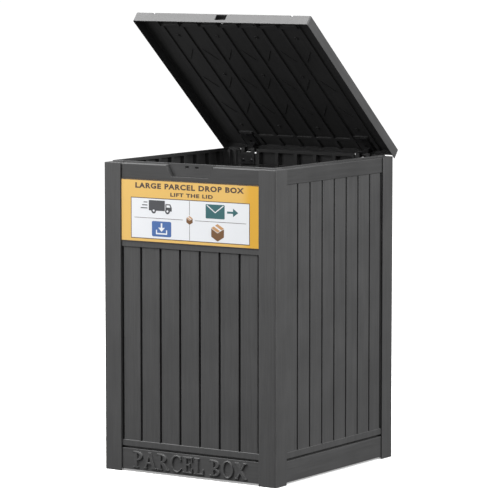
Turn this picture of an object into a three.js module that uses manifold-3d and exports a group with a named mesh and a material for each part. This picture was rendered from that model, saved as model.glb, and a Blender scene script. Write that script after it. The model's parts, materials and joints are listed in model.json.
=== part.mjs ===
// Parcel drop box: four corner posts, four plank-fronted wall panels on a base tray, a top rail on
// each wall, and a lid that swings on two pin hinges along the back. Every moulding is a single
// skin stiffened by ribs.
// Millimetres. X runs along the front, Y to the back and Z up. The origin lies on the floor, under
// the middle of the space that the box takes up with its lid standing open.

import * as THREE from 'three';
import { mergeVertices } from 'three/addons/utils/BufferGeometryUtils.js';
import Module from 'manifold-3d';

const wasm = await Module();
wasm.setup();

// Overall sizes, to the outer faces of the posts
const BOX_WIDTH = 570;
const BOX_DEPTH = 617;
const BOX_HEIGHT = 865;

// Fits
const GAP = 0.3; // between pieces that rest on or in each other
const RUNNING_GAP = 0.12; // round a hinge pin
const HOLE_GAP = 0.3; // round a screw's shank
const OVERCUT = 1; // how far a cutter runs past the face it cuts

// Moulded skins and ribs
const SKIN = 2.8;
const RIB = 2.6;

// Corner posts
const POST_FACE = 56; // width of each of a post's two faces
const POST_TUBE = 34; // side of the square tube that forms the corner
const POST_FLANGE = 4; // outer flange, which laps over the wall panels
const POST_LIP = 3; // inner flange, which backs the wall panels
const POST_LIP_REACH = 16; // how far the inner flange stands out from the tube
const POST_ROUND = 5; // radius of the outer corner
const POST_CAP = 4; // thickness of the closed top

// Wall panels and top rails
const WALL_DEPTH = 16; // from the face of the rails to the inner face
const FRONT_PLANKS = 7;
const SIDE_PLANKS = 8;
const PLANK_RECESS = 1.8; // planks lie this far behind the rails
const GROOVE_WIDTH = 6.5;
const GROOVE_DEPTH = 8; // from the face of the planks
const LOWER_RAIL_FOOT = 71.5;
const LOWER_RAIL_TOP = 89;
const FRONT_HEAD = 233.5; // from the planks' top to the posts' top, on the front and the back
const RAIL_HEIGHT = 43; // top rails
const SHADOW_DEPTH = 6; // groove between the base tray and the lower rail
const WALL_ROUND = 3; // radius of the outer top edge
const POCKET_PITCH = 185; // target height of the pockets behind the planks
const RIM_WALL = 3.3;
const RIM_HEIGHT = 5; // the rim stands this far above the posts

// Base tray
const TRAY_TOP = 66;
const TRAY_FOOT = 6.5; // the skirt ends this far above the floor
const TRAY_RIBS = 3; // ribs under the floor, each way

// Finger recess and the catch slots behind it
const RECESS_TOP_WIDTH = 156;
const RECESS_FOOT_WIDTH = 122;
const RECESS_DROP = 32; // from the top of the posts to the foot of the recess
const SLOT_WIDTH = 12;
const SLOT_HEIGHT = 6;
const SLOT_SPACING = 32;
const SLOT_DROP = 2; // from the top of the posts to the top of the slots

// Label plate
const LABEL_DROP = 44; // from the top of the posts to the top of the label
const LABEL_HEIGHT = 172;
const LABEL_THICKNESS = 1;

// Lid, with sizes as it lies when shut
const LID_OVERHANG = 5; // past the posts on each side
const LID_FRONT_SETBACK = 7; // the lid's lip stands this far behind the posts' front faces
const LID_HEIGHT = 30;
const LID_REAR_REACH = 12; // from the hinge axis to the back edge
const LID_OPEN_ANGLE = 40;
const LID_CORNER = 4;
const LID_GROOVE_DEPTH = 4;
const LID_BORDER = 48; // from an end of the lid to its cross groove
const LID_REAR_CUTAWAY = 11.5; // the back skirt stops short, so that it clears the posts
const GUSSET_HEIGHT = 9;
const WINDOW_WIDTH = 35;
const WINDOW_FOOT = 9.5;
const WINDOW_HEIGHT = 17;

// Catch under the lid's front lip
const CATCH_SETBACK = 15.5;
const CATCH_WIDTH = 28;
const CATCH_PLATE_LENGTH = 20;
const CATCH_FOOT = 14;
const CATCH_TIP_WIDTH = 8;
const CATCH_TIP_FOOT = 8;

// Hinges. The axis stands just above the posts.
const HINGE_INSET = 8; // from the back faces of the posts to the axis
const HINGE_RISE = 1;
const HINGE_BARREL = 6.5; // radius
const HINGE_PIN = 3; // radius
const HINGE_PIN_HEAD = 4.8; // radius
const HINGE_PIN_HEAD_LENGTH = 2;
const HINGE_ARM_WIDTH = 20; // the lid's barrel
const HINGE_EAR_WIDTH = 13;
const HINGE_SIDE_GAP = 0.5;
const HINGE_LEAF = 3; // thickness of the leaves
const HINGE_LEAF_DROP = 41; // how far the wall leaf hangs below the axis
const HINGE_ARM_LENGTH = 52; // how far the lid leaf runs forward of the axis
const HINGE_NOTCH_DEPTH = 10; // cut in the top of the back wall

// Screws
const SCREW_SIDES = 10;
const SCREW_SHANK = 1.8; // radius
const SCREW_HEAD = 4; // radius
const SCREW_HEAD_HEIGHT = 2.4;
const SCREW_BITE = 8; // how far a screw runs into a wall or rail
const LID_SCREW_BITE = 4;
const POST_SCREW_INSET = 42; // from a post's outer corner
const POST_SCREW_FOOT = 150;
const POST_SCREW_BOSS = 8; // solid this far above and below a screw's axis
const POST_SCREW_DROP = 85; // from the top of the posts to the upper screws
const LEAF_SCREW_SPACING = 28;
const LEAF_SCREW_DROP = 30;
const ARM_SCREW_SETBACKS = [16, 46]; // forward of the hinge axis

// Sizes that follow from the ones above
const WALL_SETBACK = POST_FLANGE + GAP; // rail faces behind the posts' outer faces
const INNER_SETBACK = WALL_SETBACK + WALL_DEPTH;
const RIM_OUTSIDE = WALL_DEPTH - RIM_WALL; // rim's outer face behind the rail faces
const RIM_TOP = BOX_HEIGHT + RIM_HEIGHT;
const PLANK_PITCH = (BOX_WIDTH - 2 * POST_FACE) / FRONT_PLANKS;
const HINGE_X = 3 * PLANK_PITCH; // middle of the outermost plank
const FRONT_FIELD_TOP = BOX_HEIGHT - FRONT_HEAD;
const RAIL_FOOT = BOX_HEIGHT - RAIL_HEIGHT;
const PANEL_TOP = RAIL_FOOT - GAP;
const RECESS_FOOT = BOX_HEIGHT - RECESS_DROP;
const LABEL_TOP = BOX_HEIGHT - LABEL_DROP;
const POST_SCREW_HEIGHTS = [POST_SCREW_FOOT, BOX_HEIGHT - POST_SCREW_DROP];
const HINGE_Y = BOX_DEPTH / 2 - HINGE_INSET;
const HINGE_Z = BOX_HEIGHT + HINGE_RISE;
const LID_HALF = BOX_WIDTH / 2 + LID_OVERHANG;
const LID_FRONT = LID_FRONT_SETBACK - BOX_DEPTH / 2 - HINGE_Y; // measured from the hinge axis
const LID_CEILING = LID_HEIGHT - SKIN; // underside of the lid's skin
const RIDGE = GROOVE_WIDTH + 2 * RIB; // width of a ridge behind a groove

const material = (color, roughness, metalness = 0) =>
  new THREE.MeshStandardMaterial({ color, roughness, metalness });
const resin = material(0x4d4e50, 0.62);
const lidResin = material(0x47484a, 0.58);
const labelSheet = material(0xf2c14e, 0.45);
const steel = material(0x9a9c9e, 0.35, 0.9);

// ---- Solids -------------------------------------------------------------------------------------

// Makes a solid from a closed three.js geometry.
function solid(geometry) {
  const bare = geometry.clone();
  bare.deleteAttribute('normal');
  bare.deleteAttribute('uv');
  const merged = mergeVertices(bare, 1e-5);
  return new wasm.Manifold(new wasm.Mesh({
    numProp: 3,
    vertProperties: new Float32Array(merged.attributes.position.array),
    triVerts: new Uint32Array(merged.index.array),
  }));
}

// Box from its lowest and highest x, y and z.
function block([x0, x1], [y0, y1], [z0, z1]) {
  const box = new THREE.BoxGeometry(x1 - x0, y1 - y0, z1 - z0);
  return solid(box.translate((x0 + x1) / 2, (y0 + y1) / 2, (z0 + z1) / 2));
}

// Upright prism of a plan outline.
function prism(points, [z0, z1], holes = []) {
  const shape = new THREE.Shape(points);
  shape.holes = holes.map((hole) => new THREE.Path(hole));
  const body = new THREE.ExtrudeGeometry(shape, { depth: z1 - z0, bevelEnabled: false });
  return solid(body.translate(0, 0, z0));
}

// Prism of an outline in x and z, carried along y.
function deepPrism(points, [y0, y1]) {
  const shape = new THREE.Shape(points);
  const body = new THREE.ExtrudeGeometry(shape, { depth: y1 - y0, bevelEnabled: false });
  return solid(body.rotateX(Math.PI / 2).translate(0, y1, 0));
}

// Cylinder along x, y or z, from one end to the other, round a centre in the other two directions.
function rod(axis, radius, [from, to], [a, b] = [0, 0], sides = 16) {
  const body = new THREE.CylinderGeometry(radius, radius, to - from, sides);
  const middle = (from + to) / 2;
  if (axis === 'x') body.rotateZ(Math.PI / 2).translate(middle, a, b);
  if (axis === 'y') body.translate(a, middle, b);
  if (axis === 'z') body.rotateX(Math.PI / 2).translate(a, b, middle);
  return solid(body);
}

const join = (first, ...others) => others.reduce((sum, other) => sum.add(other), first);
const cut = (first, ...others) => others.reduce((rest, other) => rest.subtract(other), first);

// Named mesh from a solid.
function piece(name, shape, look) {
  const mesh = shape.getMesh();
  const geometry = new THREE.BufferGeometry();
  geometry.setAttribute('position', new THREE.BufferAttribute(mesh.vertProperties, 3));
  geometry.setIndex(new THREE.BufferAttribute(mesh.triVerts, 1));
  geometry.computeVertexNormals();
  const result = new THREE.Mesh(geometry, look);
  result.name = name;
  return result;
}

const vec = (x, y) => new THREE.Vector2(x, y);
const points = (...pairs) => pairs.map(([x, y]) => vec(x, y));

// ---- Screws -------------------------------------------------------------------------------------

// Pan-head screw. Its head rests on z = 0 and its shank runs down.
function screw(name, shankLength) {
  const profile = points(
    [0, -shankLength], [SCREW_SHANK, -shankLength], [SCREW_SHANK, 0], [SCREW_HEAD, 0],
    [SCREW_HEAD * 0.7, SCREW_HEAD_HEIGHT], [0, SCREW_HEAD_HEIGHT],
  );
  return piece(name, solid(new THREE.LatheGeometry(profile, SCREW_SIDES).rotateX(Math.PI / 2)), steel);
}

// Hole for a screw's shank, along x, y or z.
const screwHole = (axis, ends, centre) => rod(axis, SCREW_SHANK + HOLE_GAP, ends, centre, SCREW_SIDES);

// ---- Corner posts -------------------------------------------------------------------------------

const CHANNEL_BACK = INNER_SETBACK + GAP; // where the inner flanges start
const LIP_BACK = CHANNEL_BACK + POST_LIP;
const LIP_END = POST_TUBE + POST_LIP_REACH;

// Plan of a post whose outer corner is at the origin, with its two faces along +x and +y.
function postOutline() {
  const leg = [
    [POST_FACE, 0], [POST_FACE, POST_FLANGE], [POST_TUBE, POST_FLANGE], [POST_TUBE, CHANNEL_BACK],
    [LIP_END, CHANNEL_BACK], [LIP_END, LIP_BACK], [POST_TUBE, LIP_BACK],
  ];
  const otherLeg = leg.map(([x, y]) => [y, x]).reverse();
  const round = new THREE.Path();
  round.absarc(POST_ROUND, POST_ROUND, POST_ROUND, Math.PI, 1.5 * Math.PI);
  return [...round.getPoints(5), ...points(...leg, [POST_TUBE, POST_TUBE], ...otherLeg)];
}

function post() {
  const inner = POST_TUBE - SKIN;
  const bore = points([SKIN, SKIN], [inner, SKIN], [inner, inner], [SKIN, inner]);
  const far = LIP_END + OVERCUT;
  const tubeBack = POST_TUBE + GAP / 2;
  const lipFoot = [-OVERCUT, TRAY_TOP + GAP];
  const capBack = points(
    [0, 0], [POST_FACE, 0], [POST_FACE, CHANNEL_BACK], [POST_TUBE, CHANNEL_BACK],
    [POST_TUBE, POST_TUBE], [CHANNEL_BACK, POST_TUBE], [CHANNEL_BACK, POST_FACE], [0, POST_FACE],
  );
  const rimOut = WALL_SETBACK + RIM_OUTSIDE;
  const rim = points(
    [rimOut, rimOut], [POST_FACE, rimOut], [POST_FACE, INNER_SETBACK],
    [INNER_SETBACK, INNER_SETBACK], [INNER_SETBACK, POST_FACE], [rimOut, POST_FACE],
  );
  const holes = POST_SCREW_HEIGHTS.flatMap((z) => [
    screwHole('y', [CHANNEL_BACK - OVERCUT, LIP_BACK + OVERCUT], [POST_SCREW_INSET, z]),
    screwHole('x', [CHANNEL_BACK - OVERCUT, LIP_BACK + OVERCUT], [POST_SCREW_INSET, z]),
  ]);
  return cut(
    join(
      prism(postOutline(), [0, BOX_HEIGHT], [bore]),
      prism(capBack, [BOX_HEIGHT - POST_CAP, BOX_HEIGHT]).intersect(
        prism(cornerSquare(), [0, BOX_HEIGHT])),
      prism(rim, [BOX_HEIGHT - POST_CAP, RIM_TOP]),
    ),
    block([tubeBack, far], [CHANNEL_BACK - GAP, far], lipFoot),
    block([CHANNEL_BACK - GAP, far], [tubeBack, far], lipFoot),
    ...holes,
  );
}

// Square of the post's face width, with the rounded outer corner.
function cornerSquare() {
  const round = new THREE.Path();
  round.absarc(POST_ROUND, POST_ROUND, POST_ROUND, Math.PI, 1.5 * Math.PI);
  return [...round.getPoints(5), ...points([POST_FACE, 0], [POST_FACE, POST_FACE], [0, POST_FACE])];
}

// Post with the screws that hold the two wall panels to it.
function postGroup(place) {
  const group = new THREE.Group();
  group.add(piece(`post_${place}`, post(), resin));
  const shank = POST_LIP + 2 * GAP + SCREW_BITE;
  const seat = LIP_BACK + GAP;
  POST_SCREW_HEIGHTS.forEach((z, level) => {
    const first = screw(`post_screw_${place}_a${level + 1}`, shank);
    first.position.set(POST_SCREW_INSET, seat, z);
    first.rotation.x = -Math.PI / 2;
    const second = screw(`post_screw_${place}_b${level + 1}`, shank);
    second.position.set(seat, POST_SCREW_INSET, z);
    second.rotation.y = Math.PI / 2;
    group.add(first, second);
  });
  return group;
}

// ---- Wall panels --------------------------------------------------------------------------------
// A wall is drawn standing along x, with its rail faces at y = 0 and its inner face at WALL_DEPTH.

// Row of pockets behind the planks, between two heights.
function pocketRow(lines, floor, [z0, z1], skip = () => false) {
  const pockets = [];
  for (let i = 0; i + 1 < lines.length; i += 1) {
    const x = [lines[i] + RIDGE / 2, lines[i + 1] - RIDGE / 2];
    if (!skip(x)) pockets.push(block(x, [floor, WALL_DEPTH + OVERCUT], [z0, z1]));
  }
  return pockets;
}

// Lines that part the planks of a wall, with its two ends.
function plankLines(field, planks) {
  return Array.from({ length: planks + 1 }, (_, i) => -field + (2 * field * i) / planks);
}

// Middle lines of a wall's grooves. The first and the last groove lie against the posts.
function grooveLines(field, planks) {
  const inner = field - GROOVE_WIDTH / 2;
  return [-inner, ...plankLines(field, planks).slice(1, -1), inner];
}

// Pockets along both ends of a wall, hidden by the posts, that leave blocks for the screws.
function endPockets(half, field) {
  const bosses = [LOWER_RAIL_TOP, ...POST_SCREW_HEIGHTS];
  const rows = bosses.slice(1).map((z, i) => [bosses[i] + POST_SCREW_BOSS, z - POST_SCREW_BOSS]);
  return [-1, 1].flatMap((side) => rows.map((z) => {
    const x = [side * (field + RIB), side * (half - RIB)].sort((a, b) => a - b);
    return block(x, [PLANK_RECESS + SKIN, WALL_DEPTH + OVERCUT], z);
  }));
}

// Plank field: recessed planks, the grooves between them and the pockets behind them.
function plankCuts(half, field, planks, fieldTop) {
  const lines = grooveLines(field, planks);
  const height = [LOWER_RAIL_TOP, fieldTop];
  const cuts = [block([-half - OVERCUT, half + OVERCUT], [-OVERCUT, PLANK_RECESS], height)];
  lines.forEach((x) => {
    cuts.push(block([x - GROOVE_WIDTH / 2, x + GROOVE_WIDTH / 2],
      [-OVERCUT, PLANK_RECESS + GROOVE_DEPTH], height));
  });
  const rows = Math.round((fieldTop - LOWER_RAIL_TOP) / POCKET_PITCH);
  const step = (fieldTop - LOWER_RAIL_TOP) / rows;
  for (let row = 0; row < rows; row += 1) {
    const z = LOWER_RAIL_TOP + row * step;
    cuts.push(...pocketRow(lines, PLANK_RECESS + SKIN, [z + RIB, z + step - RIB]));
  }
  return cuts;
}

// Panel of one wall, from the base tray to the top rail.
function wallPanel(span, planks, fieldTop) {
  const half = span / 2 - POST_TUBE - GAP;
  const field = span / 2 - POST_FACE;
  const screwHoles = [-1, 1].flatMap((side) => POST_SCREW_HEIGHTS.map((z) => (
    wallScrewHole(side * (span / 2 - POST_SCREW_INSET), z)
  )));
  return cut(
    block([-half, half], [0, WALL_DEPTH], [TRAY_TOP + GAP, PANEL_TOP]),
    block([-half - OVERCUT, half + OVERCUT], [-OVERCUT, SHADOW_DEPTH], [0, LOWER_RAIL_FOOT]),
    ...plankCuts(half, field, planks, fieldTop),
    ...endPockets(half, field),
    ...screwHoles,
  );
}

const wallScrewHole = (x, z) => (
  screwHole('y', [WALL_DEPTH - SCREW_BITE - HOLE_GAP, WALL_DEPTH + OVERCUT], [x, z]));

// Panel with a plain stretch above its planks, where the label goes on the front.
function plainHeadPanel() {
  const lines = grooveLines(BOX_WIDTH / 2 - POST_FACE, FRONT_PLANKS);
  return cut(wallPanel(BOX_WIDTH, FRONT_PLANKS, FRONT_FIELD_TOP),
    ...pocketRow(lines, SKIN, [FRONT_FIELD_TOP + RIB, PANEL_TOP - RIB]));
}

// Quarter-round taken off the outer top edge.
function topEdgeRound(half) {
  const edge = rod('x', WALL_ROUND, [-half - OVERCUT, half + OVERCUT],
    [WALL_ROUND, BOX_HEIGHT - WALL_ROUND]);
  const corner = block([-half, half], [-OVERCUT, WALL_ROUND],
    [BOX_HEIGHT - WALL_ROUND, BOX_HEIGHT + OVERCUT]);
  return cut(corner, edge);
}

// Rail that closes the top of a wall and carries the rim. Pockets near x are left out by skip.
function topRail(span, planks, skip) {
  const half = span / 2 - POST_TUBE - GAP;
  const field = span / 2 - POST_FACE;
  const shoulder = field - GAP; // the full-height part ends here, beside the posts' caps
  const depth = [-OVERCUT, WALL_DEPTH + OVERCUT];
  const capSeat = [BOX_HEIGHT - POST_CAP - GAP, BOX_HEIGHT + OVERCUT];
  const body = cut(
    block([-half, half], [0, WALL_DEPTH], [RAIL_FOOT, BOX_HEIGHT]),
    block([-half - OVERCUT, -shoulder], depth, capSeat),
    block([shoulder, half + OVERCUT], depth, capSeat),
  );
  const rim = block([-shoulder, shoulder], [RIM_OUTSIDE, WALL_DEPTH],
    [BOX_HEIGHT - OVERCUT, RIM_TOP]);
  const pockets = pocketRow(grooveLines(field, planks), SKIN,
    [RAIL_FOOT + RIB, BOX_HEIGHT - 2 * RIB], skip);
  return cut(join(body, rim), topEdgeRound(half + OVERCUT), ...pockets);
}

// Finger recess seen from the front, drawn in by an inset and carried up to a height.
function recessOutline(inset, top) {
  const foot = RECESS_FOOT_WIDTH / 2 - inset;
  const half = RECESS_TOP_WIDTH / 2 - inset;
  return points(
    [-foot, RECESS_FOOT + inset], [foot, RECESS_FOOT + inset],
    [half, BOX_HEIGHT], [half, top], [-half, top], [-half, BOX_HEIGHT],
  );
}

// The front rail is notched for the finger recess, whose back the striker closes.
function frontRail() {
  const half = RECESS_TOP_WIDTH / 2;
  const recess = deepPrism(recessOutline(0, RIM_TOP + OVERCUT), [-OVERCUT, WALL_DEPTH + OVERCUT]);
  const nearRecess = ([x0, x1]) => x0 < half + RIB && x1 > -half - RIB;
  return cut(topRail(BOX_WIDTH, FRONT_PLANKS, nearRecess), recess);
}

// The back rail is notched for the hinges, and solid where they are screwed to it.
function rearRail() {
  const half = HINGE_ARM_WIDTH / 2 + HINGE_SIDE_GAP + HINGE_EAR_WIDTH + HINGE_PIN_HEAD_LENGTH + RIB;
  const notches = [-1, 1].map((side) => block(
    [side * HINGE_X - half, side * HINGE_X + half], [-OVERCUT, WALL_DEPTH + OVERCUT],
    [BOX_HEIGHT - HINGE_NOTCH_DEPTH, RIM_TOP + OVERCUT],
  ));
  const holes = [-1, 1].flatMap((side) => [-1, 1].map((end) => wallScrewHole(
    side * HINGE_X + (end * LEAF_SCREW_SPACING) / 2, HINGE_Z - LEAF_SCREW_DROP)));
  const nearHinge = ([x0, x1]) => x0 < HINGE_X + half && x1 > -HINGE_X - half
    && (x1 > HINGE_X - half || x0 < -HINGE_X + half);
  return cut(topRail(BOX_WIDTH, FRONT_PLANKS, nearHinge), ...notches, ...holes);
}

// Plate with the two catch slots, which closes the back of the finger recess and fills the rim.
function striker() {
  const plate = deepPrism(recessOutline(GAP, RIM_TOP), [RIM_OUTSIDE, WALL_DEPTH]);
  const z = [BOX_HEIGHT - SLOT_DROP - SLOT_HEIGHT, BOX_HEIGHT - SLOT_DROP];
  const slots = [-1, 1].map((side) => block(
    [(side * SLOT_SPACING - SLOT_WIDTH) / 2, (side * SLOT_SPACING + SLOT_WIDTH) / 2],
    [RIM_OUTSIDE - OVERCUT, WALL_DEPTH + OVERCUT], z,
  ));
  return cut(plate, ...slots);
}

// Sheet stuck on the front wall, above its planks.
function labelPlate() {
  const half = BOX_WIDTH / 2 - POST_FACE - GAP;
  return block([-half, half], [-GAP - LABEL_THICKNESS, -GAP], [LABEL_TOP - LABEL_HEIGHT, LABEL_TOP]);
}

// Front wall with what is fixed to it.
function frontGroup() {
  const group = new THREE.Group();
  group.add(
    piece('wall_front', plainHeadPanel(), resin),
    piece('rail_front', frontRail(), resin),
    piece('catch_striker', striker(), resin),
    piece('label_plate', labelPlate(), labelSheet),
  );
  return group;
}

// ---- Base tray ----------------------------------------------------------------------------------

// Cross-shaped plan that leaves the four post tubes free, drawn in from the wall faces.
function trayPlan(inset, z) {
  const x = BOX_WIDTH / 2;
  const y = BOX_DEPTH / 2;
  const edge = WALL_SETBACK + inset;
  const corner = POST_TUBE + GAP + inset;
  return join(
    block([-x + corner, x - corner], [-y + edge, y - edge], z),
    block([-x + edge, x - edge], [-y + corner, y - corner], z),
  );
}

function baseTray() {
  const hollow = trayPlan(SKIN, [TRAY_FOOT - OVERCUT, TRAY_TOP - SKIN]);
  const ribs = [];
  for (let i = 1; i <= TRAY_RIBS; i += 1) {
    const share = i / (TRAY_RIBS + 1) - 0.5;
    const x = share * BOX_WIDTH;
    const y = share * BOX_DEPTH;
    const z = [TRAY_TOP / 2, TRAY_TOP - SKIN / 2];
    ribs.push(block([x - RIB / 2, x + RIB / 2], [-BOX_DEPTH / 2, BOX_DEPTH / 2], z));
    ribs.push(block([-BOX_WIDTH / 2, BOX_WIDTH / 2], [y - RIB / 2, y + RIB / 2], z));
  }
  const shell = cut(trayPlan(0, [TRAY_FOOT, TRAY_TOP]), hollow);
  const insideRibs = join(...ribs).intersect(trayPlan(SKIN / 2, [0, TRAY_TOP]));
  return join(shell, insideRibs);
}

// ---- Lid ----------------------------------------------------------------------------------------
// The lid and the hinges are drawn round the hinge axis, with the lid lying shut.

// Plan of the lid, drawn in by an inset.
function lidPlan(inset) {
  const x = LID_HALF - inset;
  const y0 = LID_FRONT + inset;
  const y1 = LID_REAR_REACH - inset;
  const r = Math.max(LID_CORNER - inset, 0.5);
  const outline = new THREE.Path();
  outline.absarc(-x + r, y0 + r, r, Math.PI, 1.5 * Math.PI);
  outline.absarc(x - r, y0 + r, r, 1.5 * Math.PI, 2 * Math.PI);
  outline.absarc(x - r, y1 - r, r, 0, 0.5 * Math.PI);
  outline.absarc(-x + r, y1 - r, r, 0.5 * Math.PI, Math.PI);
  return outline.getPoints(3);
}

// Shell of the lid before its grooves: a shallow tray, upside down.
function lidTray() {
  return cut(
    prism(lidPlan(0), [0, LID_HEIGHT]),
    prism(lidPlan(SKIN), [-OVERCUT, LID_CEILING]),
    block([-LID_HALF + SKIN, LID_HALF - SKIN],
      [LID_REAR_REACH - SKIN - OVERCUT, LID_REAR_REACH + OVERCUT], [-OVERCUT, LID_REAR_CUTAWAY]),
  );
}

// Where the lid's grooves run from front to back: in line with the front wall's grooves.
function lidLines() {
  return plankLines(BOX_WIDTH / 2 - POST_FACE, FRONT_PLANKS);
}

// Ridges under the grooves, and the gussets between the front cross ridge and the lip.
function lidRidges() {
  const inside = [LID_FRONT + SKIN / 2, LID_REAR_REACH - SKIN / 2];
  const z = [LID_CEILING - LID_GROOVE_DEPTH, LID_CEILING + SKIN / 2];
  const lines = lidLines();
  const outer = lines[lines.length - 1] + RIDGE / 2;
  const along = lines.map((x) => block([x - RIDGE / 2, x + RIDGE / 2], inside, z));
  const across = [LID_FRONT + LID_BORDER, LID_REAR_REACH - LID_BORDER].map((y) => (
    block([-outer, outer], [y - RIDGE / 2, y + RIDGE / 2], z)
  ));
  const gussets = lines.map((x) => block([x - RIB / 2, x + RIB / 2],
    [LID_FRONT + SKIN / 2, LID_FRONT + LID_BORDER], [LID_CEILING - GUSSET_HEIGHT, LID_CEILING]));
  return [...along, ...across, ...gussets];
}

// Grooves in the top: the two outermost run right through to both ends.
function lidGrooves() {
  const z = [LID_HEIGHT - LID_GROOVE_DEPTH, LID_HEIGHT + OVERCUT];
  const lines = lidLines();
  const outer = lines[lines.length - 1];
  const front = LID_FRONT + LID_BORDER;
  const rear = LID_REAR_REACH - LID_BORDER;
  const half = GROOVE_WIDTH / 2;
  const along = lines.map((x) => block([x - half, x + half], Math.abs(x) > outer - half
    ? [LID_FRONT - OVERCUT, LID_REAR_REACH + OVERCUT] : [front, rear], z));
  const across = [front, rear].map((y) => block([-outer, outer], [y - half, y + half], z));
  return [...along, ...across];
}

const armHalf = HINGE_ARM_WIDTH / 2 + HINGE_SIDE_GAP + HINGE_EAR_WIDTH;
const padFoot = LID_CEILING - LID_GROOVE_DEPTH; // level with the ridges

// Thicker pads that the hinge arms are screwed to, and the holes in them.
const hingePads = () => [-1, 1].map((side) => block(
  [side * HINGE_X - armHalf, side * HINGE_X + armHalf],
  [-HINGE_ARM_LENGTH - RIB, LID_REAR_REACH - SKIN / 2], [padFoot, LID_CEILING + SKIN / 2],
));
const padHoles = () => [-1, 1].flatMap((side) => ARM_SCREW_SETBACKS.map((y) => screwHole('z',
  [padFoot - OVERCUT, padFoot + LID_SCREW_BITE + HOLE_GAP], [side * HINGE_X, -y])));

function lidShell() {
  const window = block([-WINDOW_WIDTH / 2, WINDOW_WIDTH / 2],
    [LID_FRONT - OVERCUT, LID_FRONT + SKIN + OVERCUT], [WINDOW_FOOT, WINDOW_FOOT + WINDOW_HEIGHT]);
  return cut(
    join(lidTray(), ...lidRidges(), ...hingePads()),
    ...lidGrooves(),
    ...padHoles(),
    window,
  );
}

// Tongue behind the window, hanging from a foot that is welded to the skin.
function lidCatch() {
  const top = LID_CEILING - GAP;
  const front = LID_FRONT + CATCH_SETBACK;
  const half = CATCH_WIDTH / 2;
  return join(
    block([-half, half], [front, front + CATCH_PLATE_LENGTH], [top - RIB, top]),
    block([-half, half], [front, front + RIB], [CATCH_FOOT, top]),
    block([-CATCH_TIP_WIDTH / 2, CATCH_TIP_WIDTH / 2], [front, front + RIB], [CATCH_TIP_FOOT, top]),
  );
}

// ---- Hinges -------------------------------------------------------------------------------------

const barrelBore = (half) => rod('x', HINGE_PIN + RUNNING_GAP, [-half, half]);

// Arm on the lid: a leaf against the pad, and a web down to the middle barrel.
function hingeArm() {
  const half = HINGE_ARM_WIDTH / 2;
  const leaf = [padFoot - GAP - HINGE_LEAF, padFoot - GAP];
  const holes = ARM_SCREW_SETBACKS.map((y) => (
    screwHole('z', [leaf[0] - OVERCUT, leaf[1] + OVERCUT], [0, -y])));
  return cut(
    join(
      block([-armHalf + RIB, armHalf - RIB], [-HINGE_ARM_LENGTH, HINGE_BARREL], leaf),
      block([-half, half], [-HINGE_BARREL, HINGE_BARREL], [0, leaf[1]]),
      rod('x', HINGE_BARREL, [-half, half]),
    ),
    barrelBore(half + OVERCUT),
    ...holes,
  );
}

const LEAF_BACK = -(INNER_SETBACK - HINGE_INSET) - GAP; // wall leaf's face against the back wall

// Bracket on the back wall: a leaf inside the box and two ears over its notched top.
function hingeBracket() {
  const front = LEAF_BACK - HINGE_LEAF;
  const inner = HINGE_ARM_WIDTH / 2 + HINGE_SIDE_GAP;
  const outer = inner + HINGE_EAR_WIDTH;
  const leafTop = -HINGE_NOTCH_DEPTH + HINGE_RISE + RIB;
  const ears = [[-outer, -inner], [inner, outer]].flatMap((x) => [
    block(x, [front, 0], [-HINGE_BARREL, HINGE_BARREL]),
    rod('x', HINGE_BARREL, x),
  ]);
  const holes = [-1, 1].map((side) => screwHole('y', [front - OVERCUT, LEAF_BACK + OVERCUT],
    [(side * LEAF_SCREW_SPACING) / 2, -LEAF_SCREW_DROP]));
  return cut(
    join(block([-outer, outer], [front, LEAF_BACK], [-HINGE_LEAF_DROP, leafTop]), ...ears),
    barrelBore(outer + OVERCUT),
    ...holes,
  );
}

// Pin with a round head at one end.
function hingePin() {
  const end = HINGE_ARM_WIDTH / 2 + HINGE_SIDE_GAP + HINGE_EAR_WIDTH + GAP;
  return join(
    rod('x', HINGE_PIN, [-end, end]),
    rod('x', HINGE_PIN_HEAD, [end, end + HINGE_PIN_HEAD_LENGTH]),
  );
}

// Bracket, pin and screws of one hinge, which stay on the box.
function boxHalf(place) {
  const group = new THREE.Group();
  group.add(
    piece(`hinge_bracket_${place}`, hingeBracket(), steel),
    piece(`hinge_pin_${place}`, hingePin(), steel),
  );
  [-1, 1].forEach((side, i) => {
    const bolt = screw(`bracket_screw_${place}_${i + 1}`, HINGE_LEAF + 2 * GAP + SCREW_BITE);
    bolt.position.set((side * LEAF_SCREW_SPACING) / 2, LEAF_BACK - HINGE_LEAF - GAP, -LEAF_SCREW_DROP);
    bolt.rotation.x = Math.PI / 2;
    group.add(bolt);
  });
  return group;
}

// Arm and screws of one hinge, which swing with the lid.
function lidHalf(place) {
  const group = new THREE.Group();
  group.add(piece(`hinge_arm_${place}`, hingeArm(), steel));
  ARM_SCREW_SETBACKS.forEach((y, i) => {
    const bolt = screw(`arm_screw_${place}_${i + 1}`, HINGE_LEAF + 2 * GAP + LID_SCREW_BITE);
    bolt.position.set(0, -y, padFoot - 2 * GAP - HINGE_LEAF);
    bolt.rotation.x = Math.PI;
    group.add(bolt);
  });
  return group;
}

// ---- Assembly -----------------------------------------------------------------------------------

const group = new THREE.Group();
const X = BOX_WIDTH / 2;
const Y = BOX_DEPTH / 2;

function place(part, x, y, turn) {
  part.position.set(x, y, 0);
  part.rotation.z = turn;
  group.add(part);
}

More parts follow.
